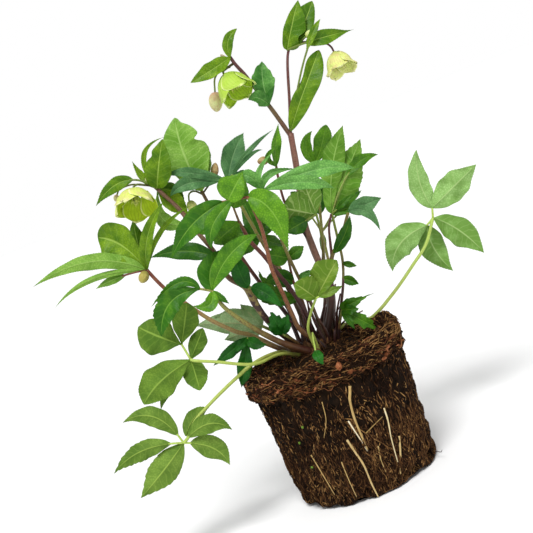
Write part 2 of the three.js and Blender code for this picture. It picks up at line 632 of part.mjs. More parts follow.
flowerStem("flower_stem_centre", {
  root: [-16, 2], radii: [2.3, 2, 1.8, 1.6],
  route: [[-31, 32, -2], [-62, 70, 3], [-90, 110, 8], [-108, 140, 10], [-119, 160, 12]],
  forks: [
    { route: [[-117, 157, 12], [-109, 168, 12], [-106, 173, 12]], radii: [1, 0.9] },
    { route: [[-116, 155, 11], [-126, 159, 14], [-131, 156, 16], [-131, 149, 17]], radii: [1, 0.9] },
  ],
}, 0x7a5040);

flowerStem("flower_stem_right", {
  root: [13, 4], radii: [2.5, 2.3, 2, 1.6],
  route: [[11, 40, -3], [10, 62, -3], [11, 85, -2], [12.5, 95, -2], [21, 112, 0], [28, 137, 4]],
  forks: [{ route: [[12, 92, -2], [10.6, 104, -3], [9, 122, -2]], radii: [1.5, 1.3] }],
}, 0x6d5a34);

// ---- Bracts -----------------------------------------------------------------------------------------------------

bracts("bracts_top", [-33, 300, 3.6], [
  { to: [-20.5, 350, 6], via: [-33, 328, 8], width: 22, widest: 0.45 },
  { to: [-5.2, 348.5, 0], via: [-22, 332, 4], width: 8 },
  { to: [33.8, 320.5, -4], via: [-5, 295, -4], width: 11, stem: 0.3 },
], 0x55952a);

bracts("bracts_fork", [-29.3, 219, 2.9], [
  { to: [-1, 300, 10], via: [-8, 262, 12], width: 19, widest: 0.55, stem: 0.1 },
  { to: [0.5, 331.6, 16], via: [-16, 290, 18], width: 6, stem: 0.1 },
], 0x5a9638);

bracts("bracts_left_branch_tip", [-90, 292.5, 12.5], [
  { to: [-82.2, 321.7, 14], width: 9 },
  { to: [-129.7, 267.3, 24], via: [-110, 286, 22], width: 13 },
], 0x5f9a30);

bracts("bract_left_branch_middle", [-51, 245, 7.6], [
  { to: [-58, 289, 14], via: [-50, 268, 16], width: 20, widest: 0.5 },
  { to: [-72, 250, 18], via: [-62, 252, 16], width: 10 },
], 0x2f7a3a);

bracts("bracts_centre_branch", [-44, 184, 20.3], [
  { to: [-41, 227, 26], via: [-44, 206, 28], width: 10, face: 30 },
  { to: [-40, 205, 36], via: [-52, 194, 32], width: 5 },
], 0x62a03a);

bracts("bracts_left_stem", [-163, 161.5, 27.9], [
  { to: [-224.5, 143.5, 20], via: [-194, 174, 30], width: 13, stem: 0.1 },
  { to: [-188, 189, 30], via: [-174, 177, 34], width: 7 },
  { to: [-156.5, 213, 26], via: [-176, 194, 33], width: 5 },
  { to: [-157.3, 211, 38], via: [-157, 186, 38], width: 13, stem: 0.2 },
], 0x5c9028);

bracts("bract_big_lobed", [-118.5, 159, 14.6], [
  { to: [-145, 232, 12], via: [-133, 198, 17], width: 36, widest: 0.5 },
  { to: [-112, 204, 10], via: [-119, 188, 14], width: 14 },
], 0x5e9a2a);

bracts("bracts_sheath", [-72, 62, 44.7], [
  { to: [-84, 93, 50], width: 14 },
  { to: [-37, 42, 55], via: [-56, 58, 54], width: 12, stem: 0.1 },
], 0x1f6a20);

bracts("bracts_right_upper", [28.6, 138.6, 5.6], [
  { to: [62, 152.4, 8], width: 15 },
  { to: [60.7, 118.6, 12], via: [47, 138, 12], width: 8 },
], 0x4f8550);

bracts("bract_right_lower", [14, 97, 1.3], [
  { to: [30, 135, 10], via: [25, 116, 9], width: 15 },
], 0x3f7f14);

// ---- Flowers and buds ---------------------------------------------------------------------------------------------

flower("flower_left", { foot: [-185.9, 160.2, 28.2], axis: [0.12, -0.86, 0.48], turn: 10, depth: 21, mouth: 21,
  belly: 0.9, colour: 0xd3de7a });
flower("flower_top_left", { foot: [-95.9, 275.8, 12.7], axis: [0.44, -0.82, 0.36], turn: 0, depth: 20, mouth: 18,
  belly: 0.9, colour: 0xc5e06a });
flower("flower_top_right", { foot: [14, 298, 8], axis: [0.38, -0.9, 0.2], turn: 30, depth: 25, mouth: 13,
  belly: 0.7, colour: 0xdfe88a });

bud("bud_left_stem", [-168.5, 166.5, 24], [-0.55, 0.82, -0.1], 9, 7.5, 0xd8d890);
bud("bud_shoot_left", [-174, 78.3, 22], [-0.3, -0.8, 0.5], 13, 11, 0xd9e0a0);
bud("bud_centre_upper", [-106, 173, 12], [0.1, 1, 0], 14, 8, 0xb9a070);
bud("bud_top_left", [-105, 258, -5], [0.1, -1, 0], 20, 14, 0xe0d8a8);
bud("bud_top_right", [-14.4, 313.1, 9.1], [0.8, 0.5, 0.3], 10, 8, 0xdde6a0);
bud("bud_centre_lower", [-131, 149, 17], [0.5, -0.85, 0.2], 14, 10, 0xc9d07a);

export default plant;
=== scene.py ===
"""Looks of a hellebore out of its pot: root ball, crown, leaves, flower stems, bracts, flowers, buds."""

import itertools
import logging
import math
import zlib
from dataclasses import dataclass
from enum import Enum

import bpy
import numpy as np
from mathutils import Matrix, Vector


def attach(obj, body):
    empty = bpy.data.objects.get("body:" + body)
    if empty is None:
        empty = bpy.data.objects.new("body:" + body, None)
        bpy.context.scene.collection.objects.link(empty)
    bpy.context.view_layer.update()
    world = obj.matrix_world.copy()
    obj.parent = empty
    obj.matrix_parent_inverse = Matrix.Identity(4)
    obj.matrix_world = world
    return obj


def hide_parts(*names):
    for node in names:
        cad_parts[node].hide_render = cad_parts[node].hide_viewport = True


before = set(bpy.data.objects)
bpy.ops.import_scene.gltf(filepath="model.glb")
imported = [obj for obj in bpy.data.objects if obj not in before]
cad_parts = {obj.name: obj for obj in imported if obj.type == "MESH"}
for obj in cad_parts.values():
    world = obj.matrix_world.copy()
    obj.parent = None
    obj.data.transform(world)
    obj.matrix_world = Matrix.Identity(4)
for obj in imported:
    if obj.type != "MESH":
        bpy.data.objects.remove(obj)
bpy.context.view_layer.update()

LOG = logging.getLogger("hellebore")

Point = tuple[float, float, float]
Route = tuple[Point, ...]

MM = 0.001
TURN = 2 * math.pi
BODY = "root"
LEAF_MAP = "leaf_map"  # across a blade from -1 to 1, and along it in side veins
TONE = "tone"  # how light a blade, root or crumb is, from 0 to 1
ALONG = "along"  # from the foot of a part, 0, to its tip, 1
MIX_FACTOR, MIX_A, MIX_B, MIX_COLOUR = 0, 6, 7, 2  # sockets of a colour mix

VEIN_SWEEP = 1.15  # side veins that a vein crosses on its way from midrib to edge
SEAT_GAP = 0.3  # millimetres between a part and what it is seated on
SOIL_LEVEL = 138.0  # heights in millimetres over the root ball's base
CROWN_TOP = 145.0


# ---- Numbers, noise and curves -------------------------------------------------------------------------


def linear_colour(code: str) -> tuple[float, float, float, float]:
    """Turns an sRGB hex colour to linear light.

    Args:
        code: the colour, such as "#4f9e35".

    Returns:
        Red, green, blue and alpha.
    """
    values = [int(code[i:i + 2], 16) / 255 for i in (1, 3, 5)]
    red, green, blue = (v / 12.92 if v <= 0.04045 else ((v + 0.055) / 1.055) ** 2.4 for v in values)
    return red, green, blue, 1.0


def per_mm(size: float) -> float:
    """Texture scale that gives features of this size in millimetres."""
    return 1 / (size * MM)


def seeded(name: str) -> np.random.Generator:
    """Random numbers that are the same in every run for one name."""
    return np.random.default_rng(zlib.crc32(name.encode()))


def unit(vectors: np.ndarray) -> np.ndarray:
    """The vectors brought to length 1."""
    return vectors / np.maximum(np.linalg.norm(vectors, axis=-1, keepdims=True), 1e-9)


def eased(value: np.ndarray, start: float, end: float) -> np.ndarray:
    """Smooth step from 0 at start to 1 at end, which may lie below start."""
    t = np.clip((value - start) / (end - start), 0, 1)
    return t * t * (3 - 2 * t)


def evenly_round(count: int) -> np.ndarray:
    """Angles evenly round a circle."""
    return np.linspace(0, TURN, count, endpoint=False)


def around(radius: np.ndarray, angle: np.ndarray, height: np.ndarray) -> np.ndarray:
    """Points at a radius, an angle and a height about +Z."""
    return np.stack(np.broadcast_arrays(radius * np.cos(angle), radius * np.sin(angle), height), axis=-1)


def random_turns(count: int, rng: np.random.Generator) -> np.ndarray:
    """Axes turned at random, (count, 3, 3)."""
    return np.stack([np.linalg.qr(rng.normal(size=(3, 3)))[0] for _ in range(count)])


def both_halves(columns: tuple[float, ...]) -> np.ndarray:
    """Places across a blade, from those of its right half."""
    return np.array([-v for v in columns[:0:-1]] + list(columns))


def bow(t: np.ndarray, foot: np.ndarray, control: np.ndarray, tip: np.ndarray) -> np.ndarray:
    """Points of the curve that leaves foot for control and comes to tip."""
    return (1 - t) ** 2 * foot + 2 * t * (1 - t) * control + t ** 2 * tip


def value_noise(points: np.ndarray, cell: float, seed: int) -> np.ndarray:
    """Smooth noise over a lattice.

    Args:
        points: places in millimetres, (..., 3).
        cell: lattice spacing in millimetres.
        seed: picks one noise out of many.

    Returns:
        Values from -1 to 1, one for each point.
    """
    scaled = points / cell
    base = np.floor(scaled).astype(np.int64)
    part = scaled - base
    part = part * part * (3 - 2 * part)
    total = np.zeros(points.shape[:-1])
    for corner in itertools.product((0, 1), repeat=3):
        at = base + np.array(corner)
        mixed = at[..., 0] * 73856093 ^ at[..., 1] * 19349663 ^ at[..., 2] * 83492791 ^ seed * 40503
        mixed = (mixed ^ (mixed >> 13)) * 1274126177 & 0xFFFFFFFF
        mixed = (mixed ^ (mixed >> 16)) & 0xFFFF
        weight = np.prod(np.where(np.array(corner) == 1, part, 1 - part), axis=-1)
        total += weight * (mixed / 32767.5 - 1)
    return total


def curve_points(points: np.ndarray, t: np.ndarray) -> np.ndarray:
    """Points of a centripetal Catmull-Rom curve.

    Args:
        points: what the curve runs through, (N, D).
        t: places on it from 0 to 1, each stretch between two points taking the same share.

    Returns:
        Points, (len(t), D).
    """
    ends = np.vstack([2 * points[0] - points[1], points, 2 * points[-1] - points[-2]])
    position = t * (len(points) - 1)
    low = np.minimum(position.astype(int), len(points) - 2)
    w = (position - low)[:, None]
    before, a, b, after = (ends[low + k] for k in range(4))
    first, middle, last = (
        np.sqrt(np.maximum(np.linalg.norm(q - p, axis=1, keepdims=True), 1e-6))
        for p, q in ((before, a), (a, b), (b, after))
    )
    leave = ((a - before) / first - (b - before) / (first + middle) + (b - a) / middle) * middle
    arrive = ((b - a) / middle - (after - a) / (middle + last) + (after - b) / last) * middle
    square = -3 * a + 3 * b - 2 * leave - arrive
    cube = 2 * a - 2 * b + leave + arrive
    return a + w * (leave + w * (square + w * cube))


def rings_round(path: np.ndarray, radii: np.ndarray, angles: np.ndarray) -> np.ndarray:
    """Rings of points round a path, in frames that don't turn about it.

    Args:
        path: the path, (R, 3).
        radii: the radius at each point of each ring, (R, N) or (R, 1).
        angles: radians about the path, (N,).

    Returns:
        Points, (R, N, 3).
    """
    tangents = unit(np.gradient(path, axis=0))
    normal = np.array([1.0, 0.0, 0.0])
    normals = []
    for tangent in tangents:
        normal = unit(normal - tangent * (normal @ tangent))
        normals.append(normal)
    sides = np.cross(tangents, normals)
    circle = np.cos(angles)[:, None] * np.array(normals)[:, None] + np.sin(angles)[:, None] * sides[:, None]
    return path[:, None] + radii[..., None] * circle


@dataclass(frozen=True)
class GrowthPlane:
    """The plane that the plant grows in: it leans and tips back, and growth spreads with depth."""

    lean: float = 22.0  # degrees that the plant leans sideways
    pitch: float = 6.0  # degrees that it is seen from above
    sight: float = 1150.0  # millimetres from the eye, which growth in front is scaled toward
    centre_across: float = -53.5  # what the eye is aimed at
    centre_up: float = 83.5
    crown_height: float = 140.0

    @property
    def axes(self) -> np.ndarray:
        """Rows: the directions across, up and toward.

        Returns:
            One direction of length 1 in each row.
        """
        lean, pitch = math.radians(self.lean), math.radians(self.pitch)
        return np.array([
            [math.cos(lean), -math.sin(lean) * math.sin(pitch), -math.sin(lean) * math.cos(pitch)],
            [math.sin(lean), math.cos(lean) * math.sin(pitch), math.cos(lean) * math.cos(pitch)],
            [0.0, -math.cos(pitch), math.sin(pitch)],
        ])

    def place(self, points: np.ndarray) -> np.ndarray:
        """Points in the model's frame.

        Args:
            points: distances across, up and toward from the crown, (..., 3).

        Returns:
            The same points in millimetres from the root ball's base, (..., 3).
        """
        points = np.asarray(points, float)
        scale = 1 - points[..., 2] / self.sight
        across = (points[..., 0] - self.centre_across) * scale + self.centre_across
        up = (points[..., 1] - self.centre_up) * scale + self.centre_up
        spread = np.stack([across, up, points[..., 2]], axis=-1)
        return spread @ self.axes + np.array([0, 0, self.crown_height])

    def heading(self, direction: Point) -> np.ndarray:
        """A direction of the growth plane in the model's frame, length 1."""
        return unit(np.array(direction, float) @ self.axes)


PLANE = GrowthPlane()
TOWARD = PLANE.axes[2]


# ---- Materials -----------------------------------------------------------------------------------------


class Nodes:
    """The shader nodes of one material or world, added one at a time."""

    def __init__(self, tree: bpy.types.NodeTree) -> None:
        """Empties the tree and works on it."""
        tree.nodes.clear()
        self.tree = tree

    def add(
        self, kind: str, inputs: dict | None = None, out: int | str = 0, stops: tuple = (), **settings: object
    ) -> bpy.types.NodeSocket:
        """Adds a node with its settings and links.

        Args:
            kind: Blender's name for the node, after ShaderNode.
            inputs: what each input socket gets, a value or the output socket to link.
            out: which output is wanted.
            stops: (place, hex colour) pairs, where the node is a colour ramp.
            **settings: the node's own properties.

        Returns:
            The output socket that was asked for.
        """
        node = self.tree.nodes.new(f"ShaderNode{kind}")
        for key, value in settings.items():
            setattr(node, key, value)
        for key, value in (inputs or {}).items():
            if isinstance(value, bpy.types.NodeSocket):
                self.tree.links.new(value, node.inputs[key])
            else:
                node.inputs[key].default_value = value
        if stops:
            elements = node.color_ramp.elements
            while len(elements) < len(stops):
                elements.new(1.0)
            for element, (place, colour) in zip(elements, stops):
                element.position = place
                element.color = linear_colour(colour)
        return node.outputs[out] if node.outputs else None

    def place(self) -> bpy.types.NodeSocket:
        """The place in the piece's own metres."""
        return self.add("TexCoord", out="Object")

    def held(self, name: str) -> bpy.types.NodeSocket:
        """A value that the mesh holds for each of its points."""
        return self.add("Attribute", out="Fac", attribute_name=name)

    def noise(self, place: bpy.types.NodeSocket, size: float, detail: float) -> bpy.types.NodeSocket:
        """Noise with features of this size in millimetres."""
        return self.add("TexNoise", {"Vector": place, "Scale": per_mm(size), "Detail": detail})

    def calc(self, operation: str, *values: object, **settings: object) -> bpy.types.NodeSocket:
        """One step of arithmetic on numbers and sockets."""
        return self.add("Math", dict(enumerate(values)), operation=operation, **settings)

    def ranged(self, value: bpy.types.NodeSocket, *ends: float, smooth: bool = False) -> bpy.types.NodeSocket:
        """Brings a value from the range of the first two ends to that of the last two."""
        kind = "SMOOTHSTEP" if smooth else "LINEAR"
        return self.add("MapRange", dict(enumerate((value, *ends))), interpolation_type=kind)

    def mix(self, share: bpy.types.NodeSocket, below: object, above: str) -> bpy.types.NodeSocket:
        """Lays a hex colour over a colour by a share."""
        inputs = {MIX_FACTOR: share, MIX_A: below, MIX_B: linear_colour(above)}
        return self.add("Mix", inputs, out=MIX_COLOUR, data_type="RGBA")

    def relief(self, height: bpy.types.NodeSocket, strength: float, depth: float) -> bpy.types.NodeSocket:
        """Bumps of a depth in millimetres."""
        return self.add("Bump", {"Strength": strength, "Distance": depth * MM, "Height": height})

    def skin(
        self,
        colour: bpy.types.NodeSocket,
        roughness: bpy.types.NodeSocket,
        relief: bpy.types.NodeSocket,
        ior: float,
        gloss: float = 0.5,
    ) -> bpy.types.NodeSocket:
        """The shader of a skin.

        Args:
            colour: its base colour.
            roughness: its roughness.
            relief: its bumps.
            ior: its index of refraction.
            gloss: its specular level.

        Returns:
            The shader.
        """
        return self.add("BsdfPrincipled", {
            "Base Color": colour, "Roughness": roughness, "IOR": ior, "Specular IOR Level": gloss,
            "Normal": relief})


@dataclass(frozen=True)
class Finish:
    """A finish that makes its material once."""

    title: str

    def material(self) -> bpy.types.Material:
        """The finish's material, made the first time that it is asked for.

        Returns:
            The material.
        """
        known = bpy.data.materials.get(self.title)
        if known is not None:
            return known
        made = bpy.data.materials.new(self.title)
        made.use_nodes = True
        nodes = Nodes(made.node_tree)
        nodes.add("OutputMaterial", {"Surface": self.surface(nodes)})
        return made

    def surface(self, nodes: Nodes) -> bpy.types.NodeSocket:
        """Builds the finish's nodes and returns its shader."""
        raise NotImplementedError


@dataclass(frozen=True)
class LeafFinish(Finish):
    """Hellebore leaf skin: a satin cuticle over a net of veins, sunken above and raised beneath."""

    deep: str
    light: str
    vein: str
    midrib_show: float = 0.6
    vein_show: float = 0.4
    roughness: float = 0.44
    relief: float = -0.5  # mm that the veins stand out, negative where they are sunken
    mottle_size: float = 13.0
    net_size: float = 2.4  # real areoles are near 1 mm; drawn coarser so that they show

    def surface(self, nodes: Nodes) -> bpy.types.NodeSocket:
        """Builds the leaf's nodes.

        Args:
            nodes: the material's nodes.

        Returns:
            The shader.
        """
        parted = nodes.add("SeparateXYZ", {0: nodes.add("UVMap", uv_map=LEAF_MAP)})
        across = nodes.calc("ABSOLUTE", parted)
        place = nodes.place()
        swept = nodes.calc("MULTIPLY_ADD", across, -VEIN_SWEEP, parted.node.outputs["Y"])
        phase = nodes.calc("MULTIPLY_ADD", nodes.noise(place, 8.0, 1.0), 0.9, swept)
        nearness = nodes.calc("PINGPONG", phase, 0.5)
        side_veins = nodes.ranged(nearness, 0.02, 0.13, self.vein_show, 0.0, smooth=True)
        midrib = nodes.ranged(across, 0.02, 0.075, self.midrib_show, 0.0, smooth=True)
        veins = nodes.calc("MAXIMUM", side_veins, midrib)

        net = nodes.add(
            "TexVoronoi", {"Vector": place, "Scale": per_mm(self.net_size)}, feature="DISTANCE_TO_EDGE")
        net_lines = nodes.ranged(net, 0.02, 0.22, 0.5, 0.0)
        mottle = nodes.noise(place, self.mottle_size, 4.0)
        patch = nodes.ranged(mottle, 0.3, 0.7, -0.6, 0.5)
        lightness = nodes.calc("ADD", nodes.held(TONE), patch, use_clamp=True)
        body = nodes.mix(lightness, linear_colour(self.deep), self.light)
        netted = nodes.mix(net_lines, body, self.deep)
        veined = nodes.mix(veins, netted, self.vein)

        quilt = nodes.calc("MULTIPLY_ADD", net_lines, -0.5, veins)
        roughness = nodes.ranged(mottle, 0.3, 0.7, self.roughness - 0.07, self.roughness + 0.08)
        return nodes.skin(veined, roughness, nodes.relief(quilt, 0.7, self.relief), 1.43, 0.24)


class LeafSkin(Enum):
    """The leaf skins of the plant, from young shade leaves to bracts in full light."""

    # a bright satin green with clear pale midribs
    FRESH_UPPER = LeafFinish("fresh_leaf_upper", "#2c6208", "#64981c", "#8cb84a", 0.45, 0.08)
    # the plain mid green of full-grown leaves
    MATURE_UPPER = LeafFinish("mature_leaf_upper", "#205204", "#4e8010", "#789e3a", 0.4, 0.08)
    # a blue-tinged green, thick waxy bloom scattering the light
    COOL_UPPER = LeafFinish("cool_leaf_upper", "#2c661c", "#76b054", "#98c478", 0.4, 0.08)
    BLUISH_UPPER = LeafFinish("bluish_leaf_upper", "#356234", "#5e8c54", "#84a474", 0.4, 0.12, 0.55)
    # bracts keep a yellower green and pale veins
    LIME_UPPER = LeafFinish("lime_bract_upper", "#426c02", "#7c9e18", "#a8c45a", 0.55, 0.1)
    # the biggest bract lies in full light and shows its side veins
    SUNLIT_UPPER = LeafFinish("sunlit_bract_upper", "#5c8c24", "#86b04a", "#a8c872", 0.55, 0.25)
    # leaves that turn olive with age
    OLIVE_UPPER = LeafFinish("olive_leaf_upper", "#547418", "#849c38", "#a8b860", 0.5, 0.16)
    # leaves and bracts low among the stalks: their near-black green is painted shade of the crowded crown
    SHADED_UPPER = LeafFinish("shaded_leaf_upper", "#0c4409", "#226812", "#4a8434", 0.3, 0.1)
    MEADOW_UPPER = LeafFinish("meadow_leaf_upper", "#346c16", "#628e2c", "#94b45c", 0.5, 0.16)
    # undersides are matt and paler, with the veins standing out
    PALE_UNDER = LeafFinish("pale_leaf_under", "#628a38", "#94bc6e", "#b2cc86", 0.5, 0.14, 0.68, 0.4)
    MEADOW_UNDER = LeafFinish("meadow_leaf_under", "#4e6e1e", "#76943a", "#9eb850", 0.6, 0.14, 0.68, 0.4)
    OLIVE_UNDER = LeafFinish("olive_leaf_under", "#456818", "#66862a", "#92b048", 0.6, 0.14, 0.68, 0.4)
    LIGHT_UNDER = LeafFinish("light_leaf_under", "#50801a", "#82aa46", "#a4c86a", 0.6, 0.22, 0.65, 0.5)
    GREY_UNDER = LeafFinish("grey_leaf_under", "#62804a", "#8ca06c", "#a08c60", 0.6, 0.18, 0.7, 0.4)
    SAGE_UNDER = LeafFinish("sage_leaf_under", "#6c8c54", "#9cb684", "#b0a478", 0.5, 0.18, 0.7, 0.4)
    VEINED_UNDER = LeafFinish("veined_leaf_under", "#4a701e", "#6e903a", "#a4b870", 0.7, 0.4, 0.66, 0.5)


@dataclass(frozen=True)
class StalkFinish(Finish):
    """Fleshy stalk skin: colour runs from foot to tip, flecked with darker red."""

    stops: tuple
    fleck: str
    fleck_show: float = 0.5
    roughness: float = 0.42
    fleck_size: float = 1.5
    mottle_size: float = 6.0

    def surface(self, nodes: Nodes) -> bpy.types.NodeSocket:
        """Builds the stalk's nodes.

        Args:
            nodes: the material's nodes.

        Returns:
            The shader.
        """
        place = nodes.place()
        drift = nodes.ranged(nodes.noise(place, self.mottle_size, 3.0), 0.3, 0.7, -0.1, 0.1)
        height = nodes.calc("ADD", nodes.held(ALONG), drift, use_clamp=True)
        body = nodes.add("ValToRGB", {0: height}, stops=self.stops)
        grain = nodes.noise(place, self.fleck_size, 2.0)
        flecks = nodes.ranged(grain, 0.52, 0.62, 0.0, self.fleck_show, smooth=True)
        roughness = nodes.ranged(grain, 0.3, 0.7, self.roughness - 0.06, self.roughness + 0.1)
        return nodes.skin(nodes.mix(flecks, body, self.fleck), roughness, nodes.relief(grain, 0.4, 0.3), 1.42)


class StalkSkin(Enum):
    """The stalk skins, each from foot to tip."""

    # the dark feet of these ramps are partly the stalks' own dark red and partly painted shade where they
    # crowd at the crown
    YELLOW_GREEN = StalkFinish(
        "yellow_green_petiole", ((0.0, "#6d5a3a"), (0.12, "#8c9440"), (0.5, "#a3b552"), (1.0, "#a9c45a")),
        "#7c6a38", 0.25)
    RED_TO_OLIVE = StalkFinish(
        "red_footed_petiole", ((0.0, "#2e1410"), (0.3, "#4a2a1a"), (0.62, "#74582e"), (1.0, "#7e903a")),
        "#3c1814", 0.5)
    # the front leaf's petiole is olive, striped with brown
    STRIPED_OLIVE = StalkFinish(
        "striped_olive_petiole", ((0.0, "#3a1a12"), (0.2, "#5a3c20"), (0.45, "#7e7438"), (1.0, "#8c8e46")),
        "#44281a", 0.65)
    PINK_RED = StalkFinish(
        "pink_red_petiole", ((0.0, "#3e2a1c"), (0.2, "#74522e"), (0.5, "#84502f"), (1.0, "#865236")),
        "#4a2014", 0.6)
    DARK_RED = StalkFinish(
        "dark_red_petiole", ((0.0, "#240e0b"), (0.35, "#46201a"), (0.8, "#703828"), (1.0, "#6e5a30")),
        "#2e0e0b", 0.5)
    TAN_OLIVE = StalkFinish(
        "tan_petiole", ((0.0, "#2e1e14"), (0.3, "#5e4a2c"), (0.65, "#787434"), (1.0, "#7c943a")),
        "#5a3626", 0.4)
    # the flowering shoot's stalk reddens towards its end
    SHOOT_RED = StalkFinish(
        "red_ended_shoot", ((0.0, "#5c4630"), (0.2, "#8a7644"), (0.52, "#9a8450"), (0.72, "#8c5c3e"),
                            (1.0, "#6a3028")),
        "#5a3020", 0.35)
    # the tall stem's near-black foot is painted shade of the crowded crown over its own pink brown
    PINK_BROWN = StalkFinish(
        "pink_brown_stem", ((0.0, "#26160f"), (0.25, "#3e261e"), (0.42, "#68483a"), (0.75, "#84604e"),
                            (1.0, "#7a5044")),
        "#42221a", 0.5)
    # the left stem has a tan, striped leaf sheath a third of the way up
    PURPLE_BROWN = StalkFinish(
        "purple_brown_stem", ((0.0, "#2c1a14"), (0.3, "#402a24"), (0.33, "#8c7c48"), (0.39, "#86763f"),
                              (0.44, "#5a402e"), (0.6, "#745a3c"), (1.0, "#694a36")),
        "#46241e", 0.55)
    OLIVE_BROWN = StalkFinish(
        "olive_brown_stem", ((0.0, "#2a1c12"), (0.4, "#5a4624"), (1.0, "#747032")), "#4a2c1c", 0.45)
    PURPLE_RED = StalkFinish(
        "purple_red_branch", ((0.0, "#6e4c3e"), (0.25, "#6a3c3a"), (1.0, "#5e3234")), "#38161a", 0.5)
    PURPLE_OLIVE = StalkFinish(
        "purple_tipped_branch", ((0.0, "#664636"), (0.35, "#62542e"), (0.8, "#5c3434"), (1.0, "#563030")),
        "#381a18", 0.5)
    # flower stalks are thin, dark olive and slightly downy
    PEDICEL = StalkFinish("downy_pedicel", ((0.0, "#4e3e26"), (0.4, "#586426"), (1.0, "#6e8434")), "#3e2a1c",
                          0.4, 0.6)


@dataclass(frozen=True)
class TepalFinish(Finish):
    """Tepal skin: thin and velvety, fine veins fanning from the foot, paler at the edge."""

    foot: str
    body: str
    edge: str
    blush: str
    blush_show: float = 0.0
    vein_show: float = 0.3
    roughness: float = 0.55
    vein_count: float = 5.0  # veins in each half of a tepal, 1.5 to 2 mm apart at the widest

    def surface(self, nodes: Nodes) -> bpy.types.NodeSocket:
        """Builds the tepal's nodes.

        Args:
            nodes: the material's nodes.

        Returns:
            The shader.
        """
        parted = nodes.add("SeparateXYZ", {0: nodes.add("UVMap", uv_map=LEAF_MAP)})
        mottle = nodes.noise(nodes.place(), 5.0, 3.0)
        fan = nodes.calc("MULTIPLY_ADD", parted, self.vein_count, mottle)
        nearness = nodes.calc("PINGPONG", fan, 0.5)
        veins = nodes.ranged(nearness, 0.03, 0.22, self.vein_show, 0.0, smooth=True)
        rim = nodes.ranged(nodes.calc("ABSOLUTE", parted), 0.85, 0.97, 0.0, 0.95, smooth=True)
        flush = nodes.ranged(mottle, 0.42, 0.66, 0.0, self.blush_show, smooth=True)

        colour = nodes.add(
            "ValToRGB", {0: parted.node.outputs["Y"]},
            stops=((0.0, self.foot), (0.5, self.body), (0.92, self.body), (0.98, self.edge)))
        for share, above in ((veins, self.foot), (rim, self.edge), (flush, self.blush)):
            colour = nodes.mix(share, colour, above)
        roughness = nodes.ranged(mottle, 0.3, 0.7, self.roughness - 0.05, self.roughness + 0.1)
        return nodes.skin(colour, roughness, nodes.relief(veins, 0.5, 0.3), 1.4, 0.35)


class TepalSkin(Enum):
    """The outer and inner sides of the tepals, and the buds' skins."""

    # the left flower: pale lime outside with a pink flush, deep lime inside
    LEFT_OUTER = TepalFinish("lime_tepal_outer", "#aac83c", "#d6e272", "#f0f4b0", "#d9b498", 0.35)
    LEFT_INNER = TepalFinish("lime_tepal_inner", "#5c7c00", "#bed82a", "#f2f6a2", "#9cbc14", 0.4, 0.3)
    TOP_LEFT_OUTER = TepalFinish("green_tepal_outer", "#80a824", "#accc48", "#dcea98", "#bccc68", 0.3)
    TOP_LEFT_INNER = TepalFinish("green_tepal_inner", "#689006", "#b0d630", "#ecf6a4", "#9ac022", 0.4, 0.35)
    TOP_RIGHT_OUTER = TepalFinish("cream_tepal_outer", "#aab054", "#d8e082", "#e8eea8", "#d0a088", 0.4)
    TOP_RIGHT_INNER = TepalFinish("cream_tepal_inner", "#a8b84a", "#d4de80", "#f0f3b0", "#d8c090", 0.3)
    YELLOW_BUD = TepalFinish("pale_yellow_bud", "#a8b848", "#dde6a0", "#f0f2c0", "#dcb8a0", 0.3)
    TAN_BUD = TepalFinish("tan_bud", "#8a9448", "#b9a070", "#d0c090", "#96603c", 0.6)
    PINK_BUD = TepalFinish("pink_footed_bud", "#b88c70", "#dfe3a0", "#eef0b8", "#d0a484", 0.5)
    GREEN_BUD = TepalFinish("yellow_green_bud", "#7c9634", "#c9d07a", "#e0e6a0", "#b0a060", 0.35)
    GREY_BUD = TepalFinish("downy_grey_bud", "#8a8460", "#b8b090", "#cfc8a8", "#8f7a60", 0.5, 0.3, 0.7)
    OCHRE_BUD = TepalFinish("ochre_bud", "#7e8034", "#b0a452", "#c8c07c", "#98804a", 0.5)


@dataclass(frozen=True)
class GroundFinish(Finish):
    """Compost, bark, dead roots and their kin: matt, rough and mottled through a ramp of browns."""

    stops: tuple
    patch_size: float = 7.0
    grain_size: float = 1.6
    tone_share: float = 0.5  # how much of the colour comes from the part's own tone
    relief: float = 0.8
    roughness: float = 0.92

    def surface(self, nodes: Nodes) -> bpy.types.NodeSocket:
        """Builds the ground's nodes.

        Args:
            nodes: the material's nodes.

        Returns:
            The shader.
        """
        place = nodes.place()
        grain = nodes.noise(place, self.grain_size, 3.0)
        spread = 1 - self.tone_share
        wide = nodes.ranged(nodes.noise(place, self.patch_size, 4.0), 0.3, 0.7, 0.0, spread * 0.6)
        fine = nodes.ranged(grain, 0.3, 0.7, 0.0, spread * 0.4)
        own = nodes.calc("MULTIPLY_ADD", nodes.held(TONE), self.tone_share, wide)
        total = nodes.calc("ADD", own, fine, use_clamp=True)
        colour = nodes.add("ValToRGB", {0: total}, stops=self.stops)
        rough_end = min(1.0, self.roughness + 0.05)
        roughness = nodes.ranged(grain, 0.3, 0.7, self.roughness - 0.1, rough_end)
        return nodes.skin(colour, roughness, nodes.relief(grain, 0.8, self.relief), 1.45, 0.1)


